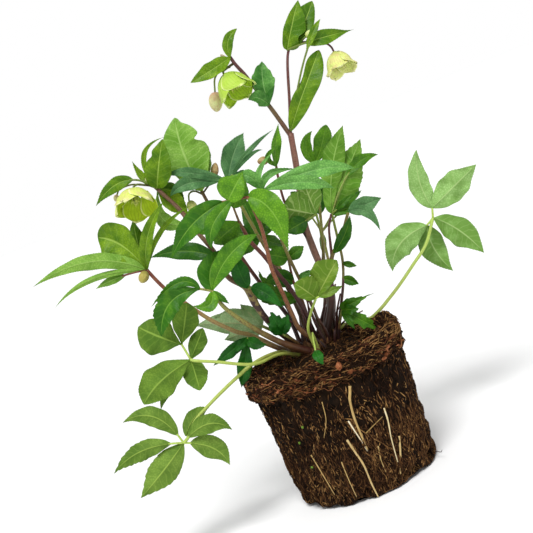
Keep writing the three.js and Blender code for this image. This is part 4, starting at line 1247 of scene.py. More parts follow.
LEAVES: tuple[Leaf, ...] = (
    Leaf("leaf_far_right", LeafSkin.MEADOW_UPPER, LeafSkin.PALE_UNDER, StalkSkin.YELLOW_GREEN,
        root=(18, 15), radii=(2.0, 1.7, 1.6),
        route=((22, 24, -20), (38, 28, -31), (51, 32, -38), (73.5, 57, -44), (93.6, 86, -50),
               (105.6, 105, -53), (113, 132, -56)),
        twigs=(((113, 132, -56), (112.3, 142, -57)), ((113, 132, -56), (106.6, 124.4, -56))),
        leaflets=(
            Leaflet((96.5, 200.5, -62), 21, start=(112.3, 142, -57), via=(99, 170, -62), face=180,
                    taper=0.95, tone=0.95),
            Leaflet((156.5, 185.8, -50), 28, start=(112.3, 142, -57), face=180, widest=0.48, tone=0.75),
            Leaflet((164.3, 97, -42), 27, start=(113.4, 132, -56), via=(140, 119, -50), face=180,
                    widest=0.5, tone=0.0),
            Leaflet((133.5, 79, -66), 26, start=(106.6, 124.4, -56), via=(115, 100, -66), face=180,
                    tooth=0.6, tone=0.1),
            Leaflet((72.5, 78, -40), 28, start=(106.6, 124.4, -56), via=(80, 106, -46), face=180, tooth=0.9,
                    tone=0.5),
        )),
    Leaf("leaf_low_left", LeafSkin.MEADOW_UPPER, LeafSkin.MEADOW_UNDER, StalkSkin.YELLOW_GREEN,
        root=(-24, -12), radii=(1.9, 1.7, 1.5),
        route=((-40, -2, 26), (-66, -13, 40), (-85, -29, 42), (-110.3, -54, 44), (-125.6, -72, 45),
               (-132, -87.5, 45), (-136.5, -93, 45)),
        leaflets=(
            Leaflet((-197.7, -73, 48), 18, via=(-166, -67, 50), face=180, stem=0.1, tone=0.3),
            Leaflet((-206, -124, 42), 17, via=(-178, -101, 46), face=180, stem=0.14, tooth=0.7, pitch=6),
            Leaflet((-179.2, -148, 40), 26, via=(-156, -120, 44), face=180, widest=0.5, tooth=0.7, pitch=6),
            Leaflet((-90, -115, 38), 21, via=(-107, -98, 40), face=180, stem=0.1),
            Leaflet((-87.6, -80, 50), 18, via=(-112, -74, 50), face=180, stem=0.1),
            Leaflet((-110.3, -57, 36), 15, start=(-134, -86, 45), via=(-125, -67, 37), face=180),
        )),
    Leaf("leaf_mid_left", LeafSkin.MEADOW_UPPER, LeafSkin.OLIVE_UNDER, StalkSkin.YELLOW_GREEN,
        root=(-18, -18), radii=(1.7, 1.5, 1.4),
        route=((-40, -4, 35), (-66, -14, 51), (-105, -11.7, 53), (-127, -10.4, 51), (-129.2, -9.5, 50)),
        twigs=(((-129.2, -9.5, 50), (-138.4, 5.6, 50)),),
        leaflets=(
            Leaflet((-182, 23, 50), 35, start=(-138.4, 5.6, 50), via=(-160, 13, 54), face=180, widest=0.6,
                    taper=0.55, tooth=0.1, tone=0.6),
            Leaflet((-133, 47, 52), 25, start=(-138.4, 5.6, 50), face=180, widest=0.6, taper=0.7, tooth=0.1,
                    tone=0.5),
            Leaflet((-117, 22, 46), 16, face=180, widest=0.55, taper=0.8, tooth=0.1, tone=0.4),
            Leaflet((-176, -54.6, 48), 31, via=(-159, -31, 50), face=180, widest=0.55, taper=0.8, tone=0.9),
            Leaflet((-120, -40.6, 47), 22, face=180, widest=0.5, taper=0.85),
            Leaflet((-159, -60, 40), 10, via=(-151, -38, 42), face=180),
        )),
    Leaf("leaf_front_left", LeafSkin.FRESH_UPPER, LeafSkin.MEADOW_UNDER, StalkSkin.STRIPED_OLIVE,
        root=(-8, -24), radii=(3.6, 2.6, 2, 1.7),
        route=((-35, 6, 36), (-58, 17, 46), (-73, 26, 54), (-86.4, 35, 60), (-98, 45, 66), (-108, 59, 70)),
        twigs=(((-108, 59, 70), (-120, 61, 70)),),
        leaflets=(
            Leaflet((-61.6, 116.6, 74), 19, via=(-91, 94, 77), widest=0.5),
            Leaflet((-96.5, 101, 66), 22, via=(-109, 82, 68), tone=0.1),
            Leaflet((-169.6, 42, 66), 9, start=(-120, 61, 70), via=(-142, 67, 73), tone=0.0, tooth=0.6,
                    pitch=4),
            Leaflet((-158.5, 13.4, 64), 20, start=(-120, 61, 70), via=(-150, 47, 70), widest=0.55,
                    tone=0.05, tooth=0.8, pitch=4, taper=0.9),
            Leaflet((-127.7, 44.2, 77), 12, via=(-111, 45, 79), tone=0.9),
            Leaflet((-90.2, 46, 66), 6, tone=0.0),
        )),
    Leaf("leaf_front_centre", LeafSkin.FRESH_UPPER, LeafSkin.MEADOW_UNDER, StalkSkin.PINK_RED,
        root=(5, -23), radii=(2.7, 2.2, 2, 1.8, 1.7),
        route=((-20.5, 21, 36), (-28, 36, 42), (-38.4, 59, 52), (-48.6, 82, 62), (-54, 105, 72),
               (-60, 126, 79), (-72, 153, 85)),
        twigs=(((-72, 153, 85), (-98, 148, 85)),),
        leaflets=(
            Leaflet((-31, 95.6, 84), 25, via=(-47, 137, 92), widest=0.42, tooth=0.6, pitch=2.4, tone=1.0,
                    taper=1.5, base=0.65),
            Leaflet((-76.5, 179.5, 86), 25, start=(-92, 149.2, 85), widest=0.36, tone=0.9, taper=1.5,
                    base=0.6, halves=(1.2, 0.8)),
            Leaflet((-148.5, 91.5, 76), 20, start=(-97, 148.2, 85), via=(-128, 125, 85), tone=0.15,
                    tooth=0.5),
            Leaflet((-108, 100.7, 86), 15, start=(-88, 149.9, 85), via=(-107, 125, 91), tone=0.3),
        )),
    Leaf("leaf_red_petiole", LeafSkin.MATURE_UPPER, LeafSkin.OLIVE_UNDER, StalkSkin.DARK_RED,
        root=(-3, -15), radii=(2.4, 2.1, 2, 1.7),
        route=((-14, 36, 30), (-31, 63, 38), (-43.5, 78, 43), (-56, 94, 50), (-70, 109, 55), (-77, 121, 58),
               (-81, 128, 60)),
        twigs=(((-81, 128, 60), (-86.4, 142, 62)), ((-81, 128, 60), (-98, 127, 58)),
               ((-72, 112, 56), (-90, 100, 52), (-104, 93, 48))),
        leaflets=(
            Leaflet((-77, 176, 68), 20, start=(-86.4, 142, 62), tone=0.9),
            Leaflet((-140, 125, 54), 19, start=(-98, 127, 58), tone=0.9),
            Leaflet((-106, 106, 64), 22, widest=0.5, taper=0.9, tone=1.0),
            Leaflet((-170, 92, 34), 16, start=(-104, 93, 48), via=(-137, 99, 42), tone=0.0),
        )),
    Leaf("leaf_long_centre", LeafSkin.COOL_UPPER, LeafSkin.MEADOW_UNDER, StalkSkin.TAN_OLIVE, root=(8, -14),
        radii=(1.8, 1.6, 1.5),
        route=((-6, 40, 22), (-21, 72, 32), (-33.3, 98, 40), (-48, 135, 50), (-57, 160, 55)),
        leaflets=(
            Leaflet((37, 181.7, 48), 15, via=(-5, 180, 62), tone=1.0, widest=0.5),
            Leaflet((15.5, 161.3, 50), 13, via=(-18, 168, 64), tone=1.0, widest=0.5),
            Leaflet((-23, 181, 50), 7, via=(-50, 176, 58), tone=0.7),
            Leaflet((-46, 199, 50), 5.5, via=(-61, 178, 58), tone=0.8),
            Leaflet((-82, 170, 50), 12, via=(-72, 174, 58), tone=0.6),
            Leaflet((-5, 80, 38), 6, start=(-21.4, 73, 32)),
        )),
    Leaf("leaf_bluish", LeafSkin.BLUISH_UPPER, LeafSkin.GREY_UNDER, StalkSkin.TAN_OLIVE, root=(-7, 7),
        radii=(2, 1.7, 1.5),
        route=((-22, 40, 4), (-45, 85, 8), (-68, 125, 10), (-85, 155, 13), (-92, 168, 15)),
        leaflets=(
            Leaflet((-156, 174, 27), 10, via=(-130, 177, 31)),
            Leaflet((-150, 153, 28), 14, via=(-130, 167, 32), stem=0.1),
            Leaflet((-76.4, 217.4, 6), 21, via=(-87, 194, 8), widest=0.5),
            Leaflet((-46.6, 220.4, 20), 5, via=(-72, 198, 22), stem=0.1),
            Leaflet((-57, 200, 32), 4, via=(-72, 193, 30), stem=0.1),
            Leaflet((-63, 178, 2), 12),
        )),
    Leaf("leaf_upper_small", LeafSkin.FRESH_UPPER, LeafSkin.MEADOW_UNDER, StalkSkin.TAN_OLIVE, root=(1, 16),
        radii=(1.6, 1.4, 1.3),
        route=((4, 40, -24), (4, 90, -32), (0, 140, -34), (-5, 186, -26)),
        leaflets=(
            Leaflet((-8, 219, -20), 11, via=(-14, 204, -22), taper=0.9, tone=0.9),
            Leaflet((5.9, 225.5, -28), 17, via=(2, 206, -26), widest=0.55, taper=0.7, tone=0.8),
        )),
    Leaf("leaf_right_upright", LeafSkin.MATURE_UPPER, LeafSkin.LIGHT_UNDER, StalkSkin.TAN_OLIVE,
        root=(21, 4), radii=(1.6, 1.4, 1.3),
        route=((18, 22, -9), (23, 64, -13), (22.5, 90, -14), (18, 110, -12), (12, 136, -12)),
        leaflets=(
            Leaflet((23, 225, -14), 22, via=(12, 180, -16), face=180, widest=0.6, tooth=0.5, tone=0.4),
            Leaflet((40.4, 211.4, -26), 33, via=(25, 172, -22), face=180, widest=0.46, tooth=0.8, pitch=5,
                    taper=1.05, base=0.5, tone=0.4),
            Leaflet((58.7, 195.7, -28), 11, via=(31, 180, -22), stem=0.4),
            Leaflet((42, 160, -24), 9, stem=0.1),
            Leaflet((32, 156, -6), 6, stem=0.2),
            Leaflet((40.4, 146.7, -14), 11),
            Leaflet((37, 84, -10), 6, start=(22.6, 87, -14)),
            Leaflet((39, 66, -8), 9, start=(23, 72, -13.4)),
        )),
    Leaf("leaf_pale_veined", LeafSkin.MATURE_UPPER, LeafSkin.VEINED_UNDER, StalkSkin.TAN_OLIVE, root=(6, 8),
        radii=(1.6, 1.4, 1.2),
        route=((8, 40, -13), (3, 86, -12), (3, 99, -7), (0.5, 119, 9), (-3.5, 135.5, 19)),
        leaflets=(
            Leaflet((-37, 142, 24), 34, face=180, widest=0.62, taper=0.6, base=0.6, tone=0.4),
            Leaflet((-15, 164, 22), 25, face=180, widest=0.62, taper=0.6, tone=0.6),
            Leaflet((-36, 117, 21), 17, stem=0.3, tone=0.1),
        )),
    Leaf("leaf_olive_front", LeafSkin.OLIVE_UPPER, LeafSkin.OLIVE_UNDER, StalkSkin.YELLOW_GREEN,
        root=(-3, -33), radii=(1.6, 1.3, 1.2),
        route=((-10, 14, 37), (-12, 23, 42), (-9, 38, 48), (-4, 52, 56)),
        leaflets=(
            Leaflet((17, 90, 62), 25, widest=0.6, taper=0.8, base=0.7, tone=0.15, halves=(1.3, 0.55)),
            Leaflet((-25.5, 67, 62), 20, widest=0.55, taper=0.85, base=0.6, tone=0.05, halves=(0.8, 1.4)),
            Leaflet((23, 64.3, 60), 8, stem=0.1, tone=0.1),
        )),
    Leaf("leaf_low_right", LeafSkin.MATURE_UPPER, LeafSkin.OLIVE_UNDER, StalkSkin.RED_TO_OLIVE,
        root=(20, -15), radii=(1.5, 1.3, 1.2),
        route=((19, 22, 22), (22, 40, 30)),
        leaflets=(
            Leaflet((54.6, 57, 34), 12, via=(34, 48, 34), widest=0.3, taper=2.0, tooth=0.8, pitch=6,
                    tone=0.7),
            Leaflet((38.9, 41.7, 40), 9, tooth=1.2, pitch=7, tone=0.5),
            Leaflet((56.8, 22, 32), 11, widest=0.55, tooth=1.8, pitch=9, tone=0.6),
            Leaflet((35, 20.5, 38), 7, tone=0.4),
        )),
    Leaf("leaf_dark_front", LeafSkin.SHADED_UPPER, LeafSkin.OLIVE_UNDER, StalkSkin.RED_TO_OLIVE,
        root=(-13, -17), radii=(1.5, 1.4, 1.3),
        route=((-24, 8, 26), (-37, 16, 34)),
        leaflets=(
            Leaflet((-50, 38, 46), 14, tooth=1.8, pitch=8),
            Leaflet((-33, 36, 44), 11, tooth=1.4, pitch=7),
            Leaflet((-53, 27, 40), 10),
        )),
    Leaf("leaf_crown_left", LeafSkin.SHADED_UPPER, LeafSkin.OLIVE_UNDER, StalkSkin.RED_TO_OLIVE,
        root=(-28, -4), radii=(1.5, 1.4, 1.3),
        route=((-45, 2, 19), (-73, 12, 28)),
        leaflets=(
            Leaflet((-107, -16, 30), 11),
            Leaflet((-86, -2, 34), 8),
            Leaflet((-78.4, -37.8, 30), 14, via=(-75, -12, 29), widest=0.6),
            Leaflet((-53, 5.6, 34), 11, via=(-64, 6, 32)),
        )),
    Leaf("leaf_pale_behind", LeafSkin.MATURE_UPPER, LeafSkin.SAGE_UNDER, StalkSkin.TAN_OLIVE,
        root=(-22, 14), radii=(1.8, 1.6, 1.5),
        route=((-38, 14, -8), (-58, 24, -6)),
        leaflets=(
            Leaflet((-106.5, 33.4, -6), 24, face=180, widest=0.5, tone=0.5),
            Leaflet((-96, 10, -2), 20, face=180, tone=0.8),
            Leaflet((-125, 24, -4), 20, via=(-94, 27, -5), face=180, tone=0.9),
            Leaflet((-80, 46, -12), 17, face=180, tone=0.3),
        )),
    Leaf("leaf_young_centre", LeafSkin.MATURE_UPPER, LeafSkin.MEADOW_UNDER, StalkSkin.DARK_RED,
        root=(-4, -3), radii=(1.5, 1.3, 1.2),
        route=((-12, 30, 12), (-26, 67, 22), (-32, 92, 28)),
        leaflets=(
            Leaflet((-54, 96, 30), 18),
            Leaflet((-50, 104, 24), 12),
            Leaflet((-16, 104, 26), 12),
            Leaflet((-56, 66, 24), 17, start=(-26, 67, 22), via=(-42, 72, 26), tone=0.2),
            Leaflet((-62, 80, 20), 14, start=(-20, 52, 17), via=(-44, 56, 18), tooth=1.4, pitch=7,
                    tone=0.7),
            Leaflet((-78, 66, 20), 12, start=(-20, 52, 17), via=(-50, 52, 18), tooth=1.2, pitch=7,
                    tone=0.4),
        )),
    Leaf("leaf_back_left", LeafSkin.MATURE_UPPER, LeafSkin.MEADOW_UNDER, StalkSkin.RED_TO_OLIVE,
        root=(-10, 20), radii=(1.9, 1.7, 1.5),
        route=((-22, 45, -44), (-42, 85, -66), (-60, 112, -78)),
        leaflets=(
            Leaflet((-104, 122, -96), 17),
            Leaflet((-78, 154, -84), 18),
            Leaflet((-42, 150, -92), 16),
            Leaflet((-90, 92, -88), 13),
            Leaflet((-36, 104, -100), 14),
        )),
    Leaf("leaf_back_right", LeafSkin.MATURE_UPPER, LeafSkin.MEADOW_UNDER, StalkSkin.RED_TO_OLIVE,
        root=(10, 24), radii=(1.9, 1.7, 1.5),
        route=((14, 40, -50), (10, 80, -72), (2, 118, -84)),
        leaflets=(
            Leaflet((-30, 158, -98), 15, via=(-18, 146, -92), stem=0.25),
            Leaflet((-6, 176, -94), 18, stem=0.3),
            Leaflet((30, 168, -92), 15, stem=0.35),
            Leaflet((40, 142, -98), 11, via=(26, 142, -96), stem=0.35),
            Leaflet((4, 94, -112), 7),
        )),
    Leaf("flowering_shoot_left", LeafSkin.LIME_UPPER, LeafSkin.LIGHT_UNDER, StalkSkin.SHOOT_RED,
        root=(-26, 5), radii=(2.3, 2.2, 2, 1.8),
        route=((-45, 4, 11), (-70, 15, 14), (-83, 18, 15), (-95, 23, 16), (-111, 31, 17), (-135, 47, 18),
               (-150, 57, 19), (-164, 70, 20), (-173, 80, 20)),
        leaflets=(
            Leaflet((-287, 62.5, 30), 15, via=(-230, 88, 28), face=180, tone=1.0),
            Leaflet((-265.5, 41.5, 22), 6, via=(-228, 70.5, 24), face=180, tone=0.9),
            Leaflet((-224.3, 61, 18), 8, via=(-200, 73, 20), face=180, stem=0.4),
            Leaflet((-223, 112, 16), 36, via=(-199, 105, 20), widest=0.62, taper=0.62, tooth=0.1),
            Leaflet((-187, 131, 8), 19, via=(-182, 106, 12), tone=0.0),
            Leaflet((-155.2, 150.3, 50), 12, via=(-172, 115, 42)),
            Leaflet((-127, 145, 46), 5, via=(-158, 120, 34)),
        )),
)

FLOWER_STEMS: tuple[FlowerStem, ...] = (
    FlowerStem("flower_stem_tall", StalkSkin.PINK_BROWN, root=(5, -4), radii=(3.8, 3.7, 3.4, 3.1),
        route=((10.6, 39, 9), (10, 66, 10), (0.7, 84, 10), (-8.5, 106, 8), (-15, 125, 6), (-23, 180, 2),
               (-29.3, 216.3, 0)),
        forks=(
            Fork((1.4, 1.2), ((-13, 112, 8), (-24, 130, 13), (-35, 147, 16), (-42, 173, 18),
                  (-44, 185, 18)), StalkSkin.DARK_RED),
            Fork((2.4, 2, 1.7), ((-29.3, 214, 0), (-40.5, 230, 2), (-50, 243, 4), (-63.5, 260, 6),
                  (-75, 275, 8), (-85, 286, 9), (-90.3, 293.4, 10)), StalkSkin.PURPLE_OLIVE),
            Fork((1.6, 1.3, 1, 1), ((-29.3, 214, 0), (-30.5, 247, 0), (-32, 297, 0), (-29, 304, 1),
                  (-20, 307.5, 3), (-9, 308, 4), (5, 307, 6), (11, 303.3, 7),
                  (14, 298, 8)), StalkSkin.PURPLE_RED),
            Fork((1.3, 1.1), ((-86, 287, 9), (-93, 282, 10), (-97, 278.5, 11), (-96, 276, 12.5))),
            Fork((1, 0.9), ((-90, 283, 10), (-99, 280, 3), (-105, 272, -2), (-105, 258, -5))),
            Fork((1, 0.9), ((-20, 307.5, 3), (-17, 311, 7), (-14.5, 313, 9))),
            Fork((0.9, 0.8), ((-44, 184, 18), (-47, 188, 17), (-52, 190, 16))),
        ),
        buds=(
            Bud((-51.5, 190, 16), (-1, -0.15, 0), 11, 8.5, TepalSkin.TAN_BUD),
            Bud((-92.5, 289.5, 12.5), (-0.75, 0.6, 0.2), 9, 4, TepalSkin.GREY_BUD),
        )),
    FlowerStem("flower_stem_left", StalkSkin.PURPLE_BROWN, root=(-12, -8),
        radii=(3.3, 3.2, 3.1, 4.2, 2.7, 2.4, 2.2, 2, 1.9),
        route=((-30, 10, 18), (-51, 28, 31), (-64, 45, 38), (-74, 63, 40), (-92, 73, 40), (-106, 98, 38),
               (-121, 116, 34), (-142, 142, 28), (-155, 154, 26), (-168, 166, 24)),
        forks=(
            Fork((1.1, 1), ((-166, 164, 24), (-176.4, 165, 26), (-183, 165.5, 26), (-186.5, 163, 26.5),
                  (-186, 160.4, 28))),
            Fork((0.9, 0.8), ((-176, 165, 25.5), (-190, 165, 14), (-201, 160, 12), (-203, 155, 12))),
        ),
        buds=(
            Bud((-203, 155.5, 12), (-0.2, -1, 0), 7, 5.5, TepalSkin.PINK_BUD),
        )),
    FlowerStem("flower_stem_centre", StalkSkin.DARK_RED, root=(-16, 2), radii=(2.3, 2, 1.8, 1.6),
        route=((-31, 32, -2), (-62, 70, 3), (-90, 110, 8), (-108, 140, 10), (-119, 160, 12)),
        forks=(
            Fork((1, 0.9), ((-117, 157, 12), (-109, 168, 12), (-106, 173, 12))),
            Fork((1, 0.9), ((-116, 155, 11), (-126, 159, 14), (-131, 156, 16), (-131, 149, 17))),
        )),
    FlowerStem("flower_stem_right", StalkSkin.OLIVE_BROWN, root=(13, 4), radii=(3.4, 2.5, 2, 1.6),
        route=((11, 40, -3), (10, 62, -3), (11, 85, -2), (12.5, 95, -2), (21, 112, 0), (28, 137, 4)),
        forks=(
            Fork((1.5, 1.3, 1.1), ((12, 92, -2), (10.6, 104, -3), (9, 122, -2),
                  (11, 135.5, -9)), StalkSkin.PURPLE_RED),
        )),
)

BRACTS: tuple[BractWhorl, ...] = (
    BractWhorl("bracts_top", LeafSkin.LIME_UPPER, LeafSkin.LIGHT_UNDER, foot=(-33, 300, 3.6),
        blades=(
            Leaflet((-22, 350, 6), 23, via=(-28, 326, 9), widest=0.37, taper=0.9, base=0.55, tooth=0.15,
                    tone=0.2, halves=(0.6, 1.25), notches=((0.27, 1, 0.4, 0.12),)),
            Leaflet((-8, 349, 2), 21, via=(-18, 322, 4), widest=0.56, taper=0.8, base=0.5, tooth=0.15,
                    tone=0.0, halves=(1.35, 0.8)),
            Leaflet((33.8, 320.5, 6), 14, via=(-4, 310.5, 14), stem=0.34, widest=0.4, taper=1.7, tooth=0.2,
                    tone=0.2),
        )),
    BractWhorl("bracts_fork", LeafSkin.LIME_UPPER, LeafSkin.LIGHT_UNDER, foot=(-29.3, 219, 2.9),
        blades=(
            Leaflet((-1, 300, 10), 24, via=(-17, 257, 12), widest=0.68, taper=0.75, base=0.34, tooth=0.1,
                    tone=0.4, notches=((0.66, -1, 0.55, 0.26),)),
            Leaflet((0.5, 331.6, 16), 7, via=(-16, 290, 18), stem=0.6),
        )),
    BractWhorl("bracts_left_branch_tip", LeafSkin.LIME_UPPER, LeafSkin.LIGHT_UNDER, foot=(-90, 292.5, 12.5),
        blades=(
            Leaflet((-83, 321.7, 14), 10, via=(-92, 309, 15), taper=0.75, tooth=0.1),
            Leaflet((-129.7, 267.3, 24), 15, via=(-110, 279, 22), taper=0.9, tooth=0.1),
        )),
    BractWhorl("bract_left_branch_middle", LeafSkin.COOL_UPPER, LeafSkin.MEADOW_UNDER, foot=(-51, 245, 7.6),
        blades=(
            Leaflet((-58, 289, 10), 21, via=(-57, 268, 12), widest=0.5, tooth=0.8, pitch=9, tone=0.35),
            Leaflet((-72, 250, 18), 14, via=(-62, 252, 16)),
        )),
    BractWhorl("bracts_centre_branch", LeafSkin.FRESH_UPPER, LeafSkin.LIGHT_UNDER, foot=(-44, 184, 20.3),
        blades=(
            Leaflet((-41, 227, 26), 10, via=(-44, 206, 28), face=30),
            Leaflet((-40, 205, 36), 5, via=(-52, 194, 32)),
        )),
    BractWhorl("bracts_left_stem", LeafSkin.LIME_UPPER, LeafSkin.LIGHT_UNDER, foot=(-163, 161.5, 27.9),
        blades=(
            Leaflet((-224.5, 143.5, 20), 13, via=(-196, 169, 26), stem=0.36, tone=0.2),
            Leaflet((-188, 189, 20), 7, start=(-164, 162, 22), via=(-178, 174, 15)),
            Leaflet((-156.5, 213, 26), 5, start=(-164, 162, 22), via=(-176, 194, 17)),
            Leaflet((-131, 135, 15), 18, start=(-162, 160, 21.8), via=(-147, 149, 17), widest=0.5,
                    tone=0.9),
            Leaflet((-131, 126, 15), 14, start=(-162, 160, 21.8), via=(-157, 131, 15), face=180, widest=0.6,
                    tone=1.0),
            Leaflet((-135, 144, 8), 13, start=(-162, 160, 21.8), via=(-146, 159, 9), tone=0.0),
            Leaflet((-157.3, 211, 38), 24, via=(-161, 188, 38), widest=0.36, taper=0.95, base=0.6,
                    tooth=0.1, tone=0.35, notches=((0.6, -1, 0.3, 0.08),)),
        )),
    BractWhorl("bract_big_lobed", LeafSkin.SUNLIT_UPPER, LeafSkin.LIGHT_UNDER, foot=(-118.5, 159, 14.6),
        blades=(
            Leaflet((-145, 232, 12), 40, via=(-137, 198, 17), widest=0.46, taper=0.8, tooth=0.15, tone=0.6,
                    halves=(0.85, 1.15), notches=((0.6, 1, 0.3, 0.045), (0.92, 1, 0.3, 0.05))),
            Leaflet((-112, 204, 10), 19, via=(-119, 188, 14), taper=0.7, tooth=0.2, tone=0.8),
        )),
    BractWhorl("bracts_sheath", LeafSkin.SHADED_UPPER, LeafSkin.MEADOW_UNDER, foot=(-72, 62, 44.7),
        blades=(
            Leaflet((-86, 99, 50), 16, via=(-81, 80, 50)),
            Leaflet((-37, 42, 55), 14, via=(-56, 58, 54), stem=0.1),
        )),
    BractWhorl("bracts_right_upper", LeafSkin.BLUISH_UPPER, LeafSkin.MEADOW_UNDER, foot=(28.6, 138.6, 5.6),
        blades=(
            Leaflet((62, 152.4, 8), 16, tone=1.0),
            Leaflet((60.7, 118.6, 12), 10, via=(47, 138, 12), tone=0.8),
        )),
    BractWhorl("bract_right_lower", LeafSkin.MATURE_UPPER, LeafSkin.OLIVE_UNDER, foot=(14, 97, 1.3),
        blades=(
            Leaflet((30, 135, 10), 12, via=(25, 116, 9), tone=0.05),
        )),
)

BUDS: tuple[Bud, ...] = (
    Bud((-168.5, 166.5, 24), (-0.55, 0.82, -0.1), 9, 7.5, TepalSkin.YELLOW_BUD, "bud_left_stem"),
    Bud((-174, 78.3, 22), (-0.3, -0.8, 0.5), 13, 10, TepalSkin.OCHRE_BUD, "bud_shoot_left"),
    Bud((-106, 173, 12), (0.1, 1, 0), 14, 8, TepalSkin.TAN_BUD, "bud_centre_upper"),
    Bud((-105, 258, -5), (0.1, -1, 0), 20, 14, TepalSkin.PINK_BUD, "bud_top_left"),
    Bud((-14.4, 313.1, 9.1), (0.8, 0.5, 0.3), 10, 8, TepalSkin.YELLOW_BUD, "bud_top_right"),
    Bud((-131, 149, 17), (0.5, -0.85, 0.2), 14, 10, TepalSkin.GREEN_BUD, "bud_centre_lower"),
)

# the small leaf of the crown itself that hangs over the front of the root ball
CROWN_LEAF = Leaf("crown", LeafSkin.SHADED_UPPER, LeafSkin.OLIVE_UNDER, StalkSkin.YELLOW_GREEN, root=(-1, -36),
    radii=(0.9, 0.8),
    route=((-7.3, 17, 46), (-4.6, -0.7, 76)),
    leaflets=(
        Leaflet((3.6, -15, 88), 9, via=(-2, -6, 87), widest=0.5, tone=0.8),
    ))


# ---- Flowers -------------------------------------------------------------------------------------------


